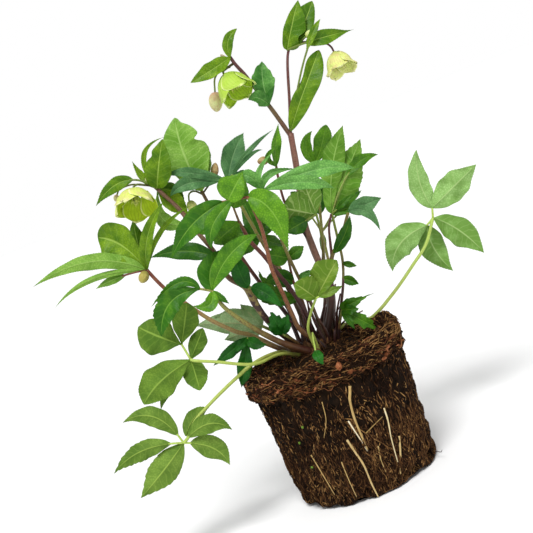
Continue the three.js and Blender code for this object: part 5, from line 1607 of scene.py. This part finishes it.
@dataclass(frozen=True)
class Flower:
    """A nodding flower: five overlapping tepals round nectaries, stamens and styles."""

    name: str
    foot: Point
    axis: Point
    turn: float  # degrees about its own axis
    depth: float  # millimetres from its foot to the tepals' tips
    mouth: float  # radius at the tips
    belly: float  # the lower, the sooner the tepals bulge out
    outer: TepalSkin
    inner: TepalSkin
    flare: float = 1.0  # mm that the tepals' tips turn out

    FOOT_RADIUS = 3.2
    THICKNESS = 0.5
    LAP = 0.9
    ROWS = 22
    COLUMNS = (0.0, 0.16, 0.32, 0.48, 0.64, 0.78, 0.9, 0.975, 1.0)
    STAMENS = 42
    NECTARIES = 11
    STYLES = 4
    # radius and height of the receptacle and of one nectary's cup, from foot to lip and in again
    RECEPTACLE = ((2.6, SEAT_GAP), (2.75, 0.9), (2.3, 1.7), (1.2, 2.3))
    CUP = ((0.35, 0.0), (0.55, 0.8), (0.7, 1.9), (0.95, 2.7), (0.7, 2.6), (0.35, 1.6))

    def build(self) -> None:
        """Makes the flower's six pieces."""
        rng = seeded(self.name)
        for number in range(5):
            self.build_tepal(number, MeshDraft(rng))
        self.build_centre(MeshDraft(rng))

    def build_tepal(self, number: int, draft: MeshDraft) -> None:
        """Makes one tepal: broad, hollowed, wavy at its edge and drawn to a small point.

        Args:
            number: which of the five.
            draft: an empty draft.
        """
        s = np.linspace(0, 1, self.ROWS)[:, None]
        spread = np.where(
            s < 0.68, 20 + 34 * np.sin(math.pi / 2 * np.minimum(s / 0.6, 1.0)) ** 1.2,
            52 * np.maximum(0, 1 - (np.maximum(s - 0.68, 0) / 0.32) ** 1.8) ** 0.75 + 2)
        radius = self.FOOT_RADIUS + (self.mouth - self.FOOT_RADIUS) * np.sin(math.pi / 2 * s ** self.belly)
        c = both_halves(self.COLUMNS)
        angle = TURN * number / 5 + c * np.radians(spread)
        near_edge = np.maximum(eased(np.abs(c), 0.55, 1.0), eased(s, 0.8, 1.0))
        waves = draft.rng.uniform(0, TURN, 3)
        frill = np.sin(9 * s + waves[0] + 3 * c) * 0.9 + np.sin(17 * s + 7 * c + waves[1]) * 0.5
        lines = 0.3 * np.cos(c * 3 * TURN) * eased(s, 0.05, 0.3) * eased(s, 1.0, 0.8)
        shell = radius + self.LAP * c * np.minimum(1, 2.5 * s) + frill * near_edge * 1.1
        shell = shell + lines + 0.9 * (1 - c ** 2) * np.sin(math.pi * s)
        shell = shell + self.flare * eased(s, 0.7, 1.0)
        height = 1 + (self.depth - 1) * s ** 1.25
        height = height + 0.7 * np.sin(6 * c + waves[2]) * near_edge * eased(s, 0.5, 1.0)
        thickness = self.THICKNESS / 2 * (1 - np.abs(c) ** 8) * (1 - 0.5 * s)
        stand = Standing(self.foot, self.axis, self.turn)
        top, bottom = (
            stand.place(around(shell + offset, angle, height)) for offset in (thickness, -thickness))
        draft.blade(top, bottom, (self.outer, self.inner), c, s[:, 0])
        node = f"{self.name}_tepal_{number + 1}"
        draft.make(f"{node}_grown", node, slot="tepal")

    def build_centre(self, draft: MeshDraft) -> None:
        """Makes the flower's centre: its receptacle, nectaries, stamens and styles.

        Args:
            draft: an empty draft.
        """
        rng = draft.rng
        stand = Standing(self.foot, self.axis, self.turn)
        nectary = draft.slot_of(GroundSkin.NECTARY)
        receptacle, cup = (
            around(profile[:, :1], evenly_round(10), profile[:, 1:])
            for profile in (np.array(self.RECEPTACLE), np.array(self.CUP)))
        draft.loft(stand.place(receptacle), stand.up(SEAT_GAP), stand.up(2.5), nectary, 0.4)
        for angle in np.arange(self.NECTARIES) * TURN / self.NECTARIES:
            lean = Matrix.Rotation(angle, 3, "Z") @ Matrix.Rotation(math.radians(38), 3, "Y")
            middle = around(1.9, angle, 1.3)
            ends = np.array([[0, 0, 0], [0, 0, 1.4]])
            rings, ends = (part @ np.array(lean).T + middle for part in (cup, ends))
            draft.loft(stand.place(rings), *stand.place(ends), nectary, 0.7)

        count = self.STAMENS
        angle = rng.uniform(0, TURN, (count, 1))
        out = rng.uniform(0.2, 1.0, (count, 1))
        reach = self.depth * rng.uniform(0.5, 0.82, (count, 1))
        t = np.linspace(0, 1, 6)
        paths = around(0.6 + 1.3 * out + 2.6 * out * t ** 1.5, angle, 1.9 + (reach - 1.9) * t)
        outward = stand.place(around(1.0, angle[:, 0], 0.0)) - stand.up(0.0)
        placed = stand.place(paths)
        draft.threads(
            placed, np.broadcast_to(outward[:, None], paths.shape), np.full(count, 0.3), GroundSkin.STAMEN,
            rng.uniform(0.2, 0.7, count))
        turns = random_turns(count, rng)
        sizes = np.column_stack([
            rng.uniform(0.7, 1.0, count), rng.uniform(0.45, 0.6, count), rng.uniform(0.4, 0.55, count)])
        draft.lumps(placed[:, -2], sizes, turns, GroundSkin.STAMEN, rng.uniform(0.4, 1.0, count))
        for angle in np.arange(self.STYLES) * TURN / self.STYLES + 0.4:
            line = around(
                np.array([0.5, 0.8, 1.9]), angle, np.array([1.8, self.depth * 0.4, self.depth * 0.66]))
            Stalk(stand.place(line), (0.55, 0.4, 0.28), 6, step=1.2).grow(draft, StalkSkin.YELLOW_GREEN)
        draft.make(f"{self.name}_centre_grown", f"{self.name}_centre", slot="stamens")


FLOWERS: tuple[Flower, ...] = (
    Flower("flower_left", (-185.9, 160.2, 28.2), (0.14, -0.83, 0.53), 10, 25, 19, 0.85,
           TepalSkin.LEFT_OUTER, TepalSkin.LEFT_INNER, 1.5),
    Flower("flower_top_left", (-95.9, 275.8, 12.7), (0.56, -0.79, 0.24), 0, 28, 17, 0.85,
           TepalSkin.TOP_LEFT_OUTER, TepalSkin.TOP_LEFT_INNER, 2.4),
    Flower("flower_top_right", (14, 298, 8), (0.38, -0.9, 0.2), 30, 22.5, 13, 0.85,
           TepalSkin.TOP_RIGHT_OUTER, TepalSkin.TOP_RIGHT_INNER, 3.2),
)


# ---- Root ball and crown -------------------------------------------------------------------------------


@dataclass(frozen=True)
class PaleRoot:
    """A living root on the root ball's near side, by points across and up from the crown."""

    route: tuple[tuple[float, float], ...]
    radius: float
    tone: float


@dataclass(frozen=True)
class RootBall:
    """A pot-shaped plug of compost held by its roots, matted thickest round the rim."""

    seed: int = 7
    columns: int = 312
    side_fibres: int = 2400
    side_straws: int = 8600
    rim_fibres: int = 4150
    crumbs: int = 1300
    chips: int = 1100

    # radius and height, from the base's middle round the side and over the rim to the soil's middle
    OUTLINE = (
        (0.0, 0.0), (40.0, 0.0), (66.0, 0.0), (69.2, 0.9), (70.3, 3.5), (73.0, 45.0), (75.6, 95.0),
        (76.6, 117.0), (78.2, 120.5), (80.4, 123.0), (81.0, 129.0), (81.0, 136.5), (79.6, 140.3),
        (75.5, 141.2), (69.0, 140.2), (62.0, 138.2), (40.0, 138.0), (0.0, 138.0),
    )
    PALE_ROOTS = (
        PaleRoot(((29.7, -36), (29.9, -43), (29.7, -49), (33.8, -66.6), (40.7, -84), (47.5, -99.5)), 1.5,
                 0.25),
        PaleRoot(((28.3, -71), (34, -80), (40, -89), (47.5, -101)), 0.8, 1.0),
        PaleRoot(((27, -90), (35, -102), (43.4, -114.5), (51.6, -133.7), (58.5, -147.4)), 1.2, 0.45),
        PaleRoot(((64, -58), (68, -71), (71, -87), (77.7, -112)), 0.85, 0.8),
        PaleRoot(((79, -86), (80.5, -105), (80.4, -124)), 1.2, 0.4),
        PaleRoot(((-9, -105), (3, -125), (14.6, -144.7)), 0.6, 0.3),
        PaleRoot(((21.5, -112), (28, -128), (36.6, -147)), 0.6, 0.35),
        PaleRoot(((46, -83), (54, -75), (62.6, -66.6)), 0.5, 0.0),
        PaleRoot(((2, -52), (6, -70), (4, -88)), 0.5, 0.15),
        PaleRoot(((58, -96), (61, -110), (66, -122)), 0.6, 0.3),
    )
    LOOSE_ROOT = ((106, -97, 0), (113, -102.5, 6), (117, -101.5, 14), (121, -102, 20), (122, -100, 27))
    WOOD_CHIPS = ((28.3, -20.6), (17.4, -15.8))
    CHIP_SIZES = ((3.6, 1.9, 0.8), (4.4, 2.3, 0.9))
    MOSS_SPOTS = ((-17.6, -77), (-20.4, -93), (-7.6, -117))
    ROUGHNESS = ((1.5, 21.0), (1.4, 8.0), (0.9, 3.6))  # millimetres out, and between one bump and the next
    HEAP_ANGLE = 0.34  # radians to where the mat's edge stands up
    SIDE_RADIUS = 74  # by which millimetres round the side or the rim become radians
    RIM_RADIUS = 78

    @property
    def lengths(self) -> np.ndarray:
        """Distance along the outline at each of its points, 0 at the base's edge.

        Returns:
            One distance in millimetres for each point.
        """
        outline = np.array(self.OUTLINE)
        steps = np.linalg.norm(np.diff(outline, axis=0), axis=1)
        run = np.concatenate([[0], np.cumsum(steps)])
        return run - run[4]

    def surface(self, angle: np.ndarray, run: np.ndarray, lift: np.ndarray | float) -> tuple:
        """The rugged surface.

        Args:
            angle: radians about the axis.
            run: millimetres along the outline from the base's edge, the same shape.
            lift: millimetres out from the surface.

        Returns:
            Points and outward directions, each (..., 3).
        """
        radii, heights = np.array(self.OUTLINE).T
        lengths = self.lengths
        radius, height = np.interp(run, lengths, radii), np.interp(run, lengths, heights)
        slope = unit(np.stack([
            np.interp(run + 1.5, lengths, values) - np.interp(run - 1.5, lengths, values)
            for values in (radii, heights)], axis=-1))
        out_r, out_z = slope[..., 1], -slope[..., 0]
        smooth = around(radius, angle, height)
        rugged = sum(share * value_noise(smooth, cell, self.seed + number)
                     for number, (share, cell) in enumerate(self.ROUGHNESS))
        pits = -2.4 * eased(value_noise(smooth, 5.2, self.seed + 3), 0.25, 0.7)
        in_rim = eased(run, 114.0, 122.0)
        rugged = (rugged + pits * (1 - 0.2 * in_rim)) * (1 + 0.6 * in_rim) * eased(run, -3.0, 3.0)
        rugged = rugged - 6.5 * eased(value_noise(smooth, 9.0, self.seed + 4), -0.3, 0.7) * (
            eased(run, 16.0, 3.0) * eased(run, -14.0, -4.0))
        aside = np.abs((angle - self.HEAP_ANGLE + math.pi) % TURN - math.pi)
        heap = 4.5 * eased(aside, 0.34, 0.0) * eased(run, 112.0, 134.0) * eased(run, 165.0, 148.0)
        total = rugged + heap + lift
        points = around(radius + total * out_r, angle, np.maximum(height + total * out_z, 0.0))
        return points, around(out_r, angle, out_z)

    def on_side(self, route: tuple, lift: float) -> np.ndarray:
        """Points of the near side that lie behind places of the growth plane.

        Args:
            route: distances across and up from the crown.
            lift: millimetres out from the surface.

        Returns:
            Points in the model's frame, (N, 3).
        """
        toward = np.linspace(125, -40, 661)
        found = []
        for place in route:
            line = PLANE.place(np.column_stack([np.full((661, 2), place), toward]))
            angle = np.arctan2(line[:, 1], line[:, 0])
            run = np.clip(line[:, 2] - 3.0, 1.0, 117.0)
            surface, _ = self.surface(angle, run, lift)
            inside = np.hypot(line[:, 0], line[:, 1]) < np.hypot(surface[:, 0], surface[:, 1])
            found.append(line[int(np.argmax(inside)) if inside.any() else 330])
        return np.maximum(found, [-np.inf, -np.inf, 1.0])

    def build(self) -> None:
        """Makes the root ball's four pieces."""
        parts = {
            "plug": self.grow_plug,
            "side roots": self.grow_side_roots,
            "rim mat": self.grow_rim_mat,
            "living roots": self.grow_living_roots,
        }
        for part, grow in parts.items():
            draft = MeshDraft(seeded(part))
            grow(draft)
            draft.make(f"root_ball_{part.replace(' ', '_')}", "root_ball", slot="matted_roots")

    def grow_plug(self, draft: MeshDraft) -> None:
        """Adds the plug of compost with its crumbs.

        Args:
            draft: what they are added to.
        """
        rng = draft.rng
        lengths = self.lengths
        runs = np.concatenate([
            np.linspace(lengths[0] + 4, -3.0, 8), np.linspace(-1.5, 114.0, 72), np.linspace(115.0, 146.0, 26),
            np.linspace(148.0, lengths[-1] - 2, 20)])
        points, _ = self.surface(*np.meshgrid(evenly_round(self.columns), runs), 0.0)
        top = np.array([0, 0, SOIL_LEVEL])
        draft.loft(points, np.zeros(3), top, draft.slot_of(GroundSkin.COMPOST), 0.35)

        count = self.crumbs
        run = np.where(rng.random(count) < 0.62, rng.uniform(2, 116, count), rng.uniform(122, 205, count))
        place, _ = self.surface(rng.uniform(0, TURN, count), run, 0.2)
        sizes = rng.uniform(0.45, 1.5, (count, 1)) * rng.uniform(0.6, 1.2, (count, 3))
        turns = random_turns(count, rng)
        draft.lumps(place, sizes, turns, GroundSkin.CRUMB, rng.random(count) ** 2.2)

    def grow_side_roots(self, draft: MeshDraft) -> None:
        """Adds the fine dry roots that run down the side, and the straws between them.

        Args:
            draft: what they are added to.
        """
        rng = draft.rng
        count, rows = self.side_fibres, 8
        start = rng.uniform(0, TURN, count)
        right = 0.5 + 0.5 * np.cos(start + 0.6)
        top = np.where(rng.random(count) < 0.35 + 0.3 * right, rng.uniform(8, 70, count),
                       rng.uniform(6, 116, count))
        length = rng.uniform(7, 34, count) * np.where(rng.random(count) < 0.12, 1.8, 1.0)
        t = np.linspace(0, 1, rows)
        slant = rng.normal(0, 0.35, (count, 1))
        bend = rng.normal(0, 3.2, (count, 1)) * np.sin(math.pi * t * rng.uniform(0.7, 2.2, (count, 1)))
        run = np.maximum(top[:, None] - length[:, None] * t, -1.0)
        angle = start[:, None] + (slant * length[:, None] * t + bend) / self.SIDE_RADIUS
        lift = 0.15 + rng.uniform(0, 1.1, (count, 1)) * np.sin(math.pi * (0.1 + 0.8 * t))
        paths, outward = self.surface(angle, run, lift)
        paths[..., 2] = np.maximum(paths[..., 2], 0.5)
        thick = rng.uniform(0.14, 0.36, count) * np.where(rng.random(count) < 0.06, 1.6, 1.0)
        # lighter towards the right; darker just under the rim, which is painted shade of the rim's overhang
        shade = 0.2 + 0.2 * right - 0.2 * eased(top, 70, 112)
        tones = np.clip(rng.normal(shade, 0.22), 0, 1)
        draft.threads(paths, outward, thick, GroundSkin.DRY_ROOT, tones)
        self.add_straws(draft)

    def add_straws(self, draft: MeshDraft) -> None:
        """Adds short, thick bits of straw and broken root that lie along the side.

        Args:
            draft: what they are added to.
        """
        rng = draft.rng
        count = self.side_straws
        t = np.linspace(0, 1, 4)
        start = rng.uniform(0, TURN, count)
        right = 0.5 + 0.5 * np.cos(start + 0.6)
        top = np.where(rng.random(count) < 0.3, rng.uniform(4, 60, count), rng.uniform(4, 119, count))
        length = 1.8 + 9.0 * rng.random(count) ** 1.6
        slant = rng.normal(0, 0.36, count)
        run = np.maximum(top[:, None] - (length * np.cos(slant))[:, None] * t, -1.0)
        angle = start[:, None] + (length * np.sin(slant))[:, None] * t / self.SIDE_RADIUS
        paths, outward = self.surface(angle, run, rng.uniform(-0.2, 0.7, (count, 1)))
        paths[..., 2] = np.maximum(paths[..., 2], 0.6)
        thick = rng.uniform(0.22, 0.7, count)
        patch = value_noise(paths[:, 1], 17.0, self.seed + 5)
        # fewer light straws just under the rim: painted shade of its overhang
        rim_shade = 1 - 0.5 * eased(top, 75, 112)
        light = rng.random(count) < (0.27 + 0.16 * right) * (1 + 1.7 * patch) * rim_shade
        dull = np.where(rng.random(count) < 0.3, rng.normal(0.4, 0.1, count), rng.normal(0.03, 0.07, count))
        tones = np.clip(np.where(light, rng.normal(0.78, 0.16, count), dull), 0, 1)
        draft.threads(paths, outward, thick, GroundSkin.DRY_ROOT, tones)

    def grow_rim_mat(self, draft: MeshDraft) -> None:
        """Adds the mat of roots that circled inside the pot's rim, with bark caught in it.

        Args:
            draft: what they are added to.
        """
        rng = draft.rng
        count, rows = self.rim_fibres, 7
        over_edge = rng.random(count) < 0.7
        middle = np.where(over_edge, rng.uniform(117, 150, count), rng.uniform(146, 178, count))
        length = rng.uniform(8, 34, (count, 1))
        t = np.linspace(-0.5, 0.5, rows)
        slant = rng.normal(0, 0.3, (count, 1))
        bend = rng.normal(0, 2.0, (count, 1)) * np.sin(TURN * (t + rng.uniform(0, 1, (count, 1))))
        run = middle[:, None] + slant * length * t + bend
        angle = rng.uniform(0, TURN, (count, 1)) + length * t / self.RIM_RADIUS
        lift = 0.2 + rng.uniform(0, 2.2, (count, 1)) * np.cos(math.pi * t * 0.8)
        paths, outward = self.surface(angle, run, lift)
        foxy = rng.random(count) < 0.24 - 0.14 * eased(middle, 124, 140)
        light = rng.random(count) < 0.34
        tones = np.clip(np.where(light, rng.normal(0.82, 0.14, count), rng.normal(0.1, 0.12, count)), 0, 1)
        thick = rng.uniform(0.18, 0.5, count)
        for skin, chosen in ((GroundSkin.DRY_ROOT, ~foxy), (GroundSkin.BARK, foxy)):
            draft.threads(paths[chosen], outward[chosen], thick[chosen], skin, tones[chosen])

        count = self.chips
        low = rng.random(count) < 0.6
        run = np.where(low, rng.normal(121, 4.0, count), rng.uniform(126, 172, count))
        angle = rng.uniform(0, TURN, count)
        place, outward = self.surface(angle, run, 0.6)
        tangent = unit(np.stack([-np.sin(angle), np.cos(angle), rng.normal(0, 0.35, count)], axis=-1))
        outward = unit(outward + rng.normal(0, 0.5, outward.shape))
        side = unit(np.cross(outward, tangent))
        turns = np.stack([np.cross(side, outward), side, outward], axis=1)
        sizes = np.column_stack([
            rng.uniform(1.4, 4.2, count), rng.uniform(0.8, 2.0, count), rng.uniform(0.4, 0.9, count)])
        sizes = sizes * np.where(rng.random((count, 1)) < 0.14, 1.6, 1.0)
        foxy = rng.random(count) < 0.4
        tones = rng.uniform(0.0, 1.0, count) ** 1.5
        for skin, chosen in ((GroundSkin.CRUMB, ~foxy), (GroundSkin.BARK, foxy)):
            draft.lumps(place[chosen], sizes[chosen], turns[chosen], skin, tones[chosen])

    def grow_living_roots(self, draft: MeshDraft) -> None:
        """Adds the pale living roots, the wood chips, the moss specks and the loose root at the foot.

        Args:
            draft: what they are added to.
        """
        rng = draft.rng
        for root in self.PALE_ROOTS:
            points = self.on_side(root.route, root.radius * 0.9 + 0.5)
            self.add_root(draft, points, root.radius, GroundSkin.LIVE_ROOT, root.tone)
        loose = np.maximum(PLANE.place(self.LOOSE_ROOT), [-np.inf, -np.inf, 0.8])
        self.add_root(draft, loose, 0.5, GroundSkin.DRY_ROOT, 0.1)

        for centre, size, tone in zip(self.on_side(self.WOOD_CHIPS, 1.0), self.CHIP_SIZES, (0.6, 0.9)):
            out = unit(np.array([[centre[0], centre[1], 0.0]]))
            side = np.cross([[0, 0, 1.0]], out)
            turns = np.stack([np.cross(out, side), side, out], axis=1)
            for offset, share in ((0.0, 1.0), (1.6, 0.7), (-1.5, 0.6)):
                place = centre[None] + out * (5.2 + 0.3 * share) + side * offset
                tilt = np.linalg.qr(np.eye(3) + rng.normal(0, 0.3, (3, 3)))[0]
                draft.lumps(place, np.array([size]) * share, turns @ tilt[None], GroundSkin.BARK,
                            np.array([tone * share ** 0.3]))
        spots = self.on_side(self.MOSS_SPOTS, 0.6)
        count = len(spots)
        sizes = rng.uniform(1.0, 1.8, (count, 3))
        upright = np.tile(np.eye(3), (count, 1, 1))
        draft.lumps(spots, sizes, upright, GroundSkin.MOSS, np.full(count, 0.6))

    def add_root(
        self, draft: MeshDraft, points: np.ndarray, radius: float, skin: GroundSkin, tone: float
    ) -> None:
        """Adds one tapering root.

        Args:
            draft: what it is added to.
            points: what it runs through, (N, 3).
            radius: half its width at its foot, in millimetres.
            skin: its finish.
            tone: its lightness.
        """
        length = np.linalg.norm(np.diff(points, axis=0), axis=1).sum()
        t = np.linspace(0, 1, max(8, int(length / 1.8)))
        path = curve_points(points, t)
        path[:, 2] = np.maximum(path[:, 2], radius)
        knots = 1 + 0.16 * value_noise(path, 4.0, int(draft.rng.integers(1000)))
        rings = rings_round(path, (radius * (1 - 0.45 * t) * knots)[:, None], evenly_round(9))
        draft.loft(rings, path[0], path[-1], draft.slot_of(skin), tone)


@dataclass(frozen=True)
class Crown(Growth):
    """The rootstock at soil level: a low mound of compost, papery scales and the stalks of past years."""

    name: str = "crown"
    radius: float = 42.0
    crumbs: int = 900
    scales: int = 110
    dead_stalks: int = 44
    stalk_lengths: tuple[float, float] = (14, 62)
    stalk_radii: tuple[float, float] = (0.7, 1.9)
    fibres: int = 420
    seed: int = 31

    SLOT = "crown_wood"

    def top(self, x: np.ndarray, y: np.ndarray) -> np.ndarray:
        """Height of the mound at places in millimetres.

        Args:
            x: places along X.
            y: places along Y, the same shape.

        Returns:
            Heights in millimetres, the same shape.
        """
        distance = np.hypot(x, y)
        flat = np.stack([x, y, np.zeros_like(x)], axis=-1)
        rugged = 0.9 * value_noise(flat, 9.0, self.seed) + 0.8 * value_noise(flat, 4.0, self.seed + 1)
        mound = 7.2 * eased(distance, self.radius + 1, self.radius - 13)
        return SOIL_LEVEL + SEAT_GAP + mound + rugged * eased(distance, self.radius + 1, self.radius - 6)

    def on_top(self, x: np.ndarray, y: np.ndarray, lift: np.ndarray | float = 0.0) -> np.ndarray:
        """Points this far above the mound at places in millimetres."""
        return np.stack([x, y, self.top(x, y) + lift], axis=-1)

    def grow(self, draft: MeshDraft) -> None:
        """Adds the mound with all that lies on it and rises from it.

        Args:
            draft: what they are added to.
        """
        self.add_mound(draft)
        self.add_scales(draft)
        self.add_dead_stalks(draft)
        self.add_fibres(draft)
        CROWN_LEAF.grow(draft)

    def add_mound(self, draft: MeshDraft) -> None:
        """Adds the mound of compost and its crumbs.

        Args:
            draft: what they are added to.
        """
        rng = draft.rng
        angle = evenly_round(130)
        reach = np.linspace(1.0, 0.03, 34)[:, None] * self.radius
        rings = self.on_top(reach * np.cos(angle), reach * np.sin(angle))
        centre = self.on_top(np.zeros(1), np.zeros(1))[0]
        foot = np.array([0, 0, SOIL_LEVEL + SEAT_GAP])
        draft.loft(rings, foot, centre, draft.slot_of(GroundSkin.COMPOST), 0.3)

        count = self.crumbs
        angle, reach = rng.uniform(0, TURN, count), self.radius * rng.uniform(0, 1, count) ** 0.5
        place = self.on_top(reach * np.cos(angle), reach * np.sin(angle), 0.3)
        sizes = rng.uniform(0.5, 1.7, (count, 1)) * rng.uniform(0.6, 1.2, (count, 3))
        turns = random_turns(count, rng)
        draft.lumps(place, sizes, turns, GroundSkin.CRUMB, rng.random(count) ** 1.4)

    def add_scales(self, draft: MeshDraft) -> None:
        """Adds papery scales round the feet of the stalks.

        Args:
            draft: what they are added to.
        """
        rng = draft.rng
        stems = [plant.root for plant in (*LEAVES, *FLOWER_STEMS)]
        for number in range(self.scales):
            x, y = np.array(stems[number % len(stems)]) + rng.normal(0, 3.0, 2)
            aim = unit(np.array([x, y, 1.0]) * [0.012, 0.012, 1] + rng.normal(0, 0.25, 3))
            out = unit(np.cross(aim, rng.normal(size=3)))
            size = np.array([[rng.uniform(3.0, 7.5), rng.uniform(1.0, 2.2), 0.45]])
            place = self.on_top(np.array([x]), np.array([y])) + [0, 0, 1.0] + aim * size[0, 0] * 0.5
            turns = np.stack([aim, np.cross(aim, out), out])[None]
            draft.lumps(place, size, turns, GroundSkin.SCALE, rng.uniform(0, 0.9, 1))

    def add_dead_stalks(self, draft: MeshDraft) -> None:
        """Adds the stalks of past years, each beside a living one that rises.

        Args:
            draft: what they are added to.
        """
        rng = draft.rng
        risers = [plant for plant in (*LEAVES, *FLOWER_STEMS) if plant.route[0][1] > 18]
        for number in range(self.dead_stalks):
            beside = risers[number % len(risers)]
            x, y = np.array(beside.root) + rng.normal(0, 4.0, 2)
            foot = self.on_top(np.array([x]), np.array([y]))[0]
            aim = unit(unit(PLANE.place(beside.route[0]) - foot) + rng.normal(0, 0.09, 3))
            length = rng.uniform(*self.stalk_lengths)
            line = foot + np.outer([0.0, 0.5, 1.0], aim * length) + rng.normal(0, 1.2, (3, 3))
            thick = rng.uniform(*self.stalk_radii)
            skin = StalkSkin.DARK_RED if number % 3 else StalkSkin.RED_TO_OLIVE
            radii = (thick, thick * 0.9, thick * 0.6)
            Stalk(line, radii, 8, rooted=True, span=(0.0, rng.uniform(0.2, 0.45)), step=6).grow(draft, skin)

    def add_fibres(self, draft: MeshDraft) -> None:
        """Adds the dry roots that lie on the mound.

        Args:
            draft: what they are added to.
        """
        rng = draft.rng
        count, rows = self.fibres, 6
        t = np.linspace(0, 1, rows)
        angle = rng.uniform(0, TURN, (count, 1)) + rng.normal(0, 0.3, (count, 1)) * t
        reach = self.radius * rng.uniform(0.2, 0.95, (count, 1)) + rng.uniform(-12, 12, (count, 1)) * t
        lift = 0.3 + rng.uniform(0, 2.0, (count, 1)) * np.sin(math.pi * t)
        paths = self.on_top(reach * np.cos(angle), reach * np.sin(angle), lift)
        outward = np.broadcast_to([0.0, 0.0, 1.0], paths.shape)
        draft.threads(
            paths, outward, rng.uniform(0.18, 0.45, count), GroundSkin.DRY_ROOT, rng.uniform(0.1, 0.8, count))


# ---- Studio --------------------------------------------------------------------------------------------


@dataclass(frozen=True)
class Lamp:
    """A soft light from far off, by its direction across, up and toward."""

    name: str
    offset: Point
    softness: float  # degrees that it spans
    power: float


@dataclass(frozen=True)
class Studio:
    """Plain pale floor, soft light and the camera."""

    floor_size: float = 60.0
    floor_colour: str = "#fcfcfc"
    horizon_strength: float = 1.0
    sky_strength: float = 0.36
    lens: float = 77.67
    lamps: tuple[Lamp, ...] = (
        Lamp("key_light", (-0.75, 1.35, 1.25), 26.0, 2.75),
    )

    def build(self) -> None:
        """Makes the floor, the lights and the camera."""
        self.build_floor()
        self.build_sky()
        aim = PLANE.place((PLANE.centre_across, PLANE.centre_up, 0.0)) * MM
        for lamp in self.lamps:
            data = bpy.data.lights.new(lamp.name, "SUN")
            data.angle = math.radians(lamp.softness)
            data.energy = lamp.power
            light = bpy.data.objects.new(lamp.name, data)
            offset = np.array(lamp.offset) @ PLANE.axes
            light.location = aim + offset
            light.rotation_mode = "QUATERNION"
            light.rotation_quaternion = Vector(-offset).to_track_quat("-Z", "Y")
            bpy.context.scene.collection.objects.link(light)

        data = bpy.data.cameras.new("camera")
        data.lens = self.lens
        data.sensor_width = 36.0
        data.clip_start, data.clip_end = 0.05, 200.0
        camera = bpy.data.objects.new("camera", data)
        turn = Matrix(PLANE.axes.T.tolist())
        camera.matrix_world = Matrix.Translation(aim + TOWARD * PLANE.sight * MM) @ turn.to_4x4()
        bpy.context.scene.collection.objects.link(camera)
        bpy.context.scene.camera = camera

    def build_floor(self) -> None:
        """Makes the floor, a sheet of pale paper."""
        half = self.floor_size / 2
        mesh = bpy.data.meshes.new("studio_floor")
        corners = [(-half, -half, 0), (half, -half, 0), (half, half, 0), (-half, half, 0)]
        mesh.from_pydata(corners, [], [(0, 1, 2, 3)])
        floor = bpy.data.objects.new("studio_floor", mesh)
        paper = bpy.data.materials.new("pale_paper")
        paper.use_nodes = True
        nodes = Nodes(paper.node_tree)
        shader = nodes.add("BsdfPrincipled", {
            "Base Color": linear_colour(self.floor_colour), "Roughness": 0.9, "Specular IOR Level": 0.1})
        nodes.add("OutputMaterial", {"Surface": shader})
        mesh.materials.append(paper)
        bpy.context.scene.collection.objects.link(floor)

    def build_sky(self) -> None:
        """Makes the white sky, brightest at the horizon."""
        world = bpy.data.worlds.new("studio_light")
        world.use_nodes = True
        nodes = Nodes(world.node_tree)
        parted = nodes.add("SeparateXYZ", {0: nodes.add("TexCoord", out="Generated")})
        strength = nodes.ranged(
            parted.node.outputs["Z"], 0.2, 0.45, self.horizon_strength, self.sky_strength)
        sky = nodes.add("Background", {"Color": (1.0, 1.0, 1.0, 1.0), "Strength": strength})
        nodes.add("OutputWorld", {"Surface": sky})
        bpy.context.scene.world = world
        bpy.context.scene.view_settings.view_transform = "Standard"


def main() -> None:
    """Builds every piece."""
    logging.basicConfig(level=logging.INFO, format="%(name)s: %(message)s")
    Studio().build()
    RootBall().build()
    Crown().build()
    for group in (LEAVES, FLOWER_STEMS, BRACTS, BUDS, FLOWERS):
        for part in group:
            part.build()


if __name__ == "__main__":
    main()
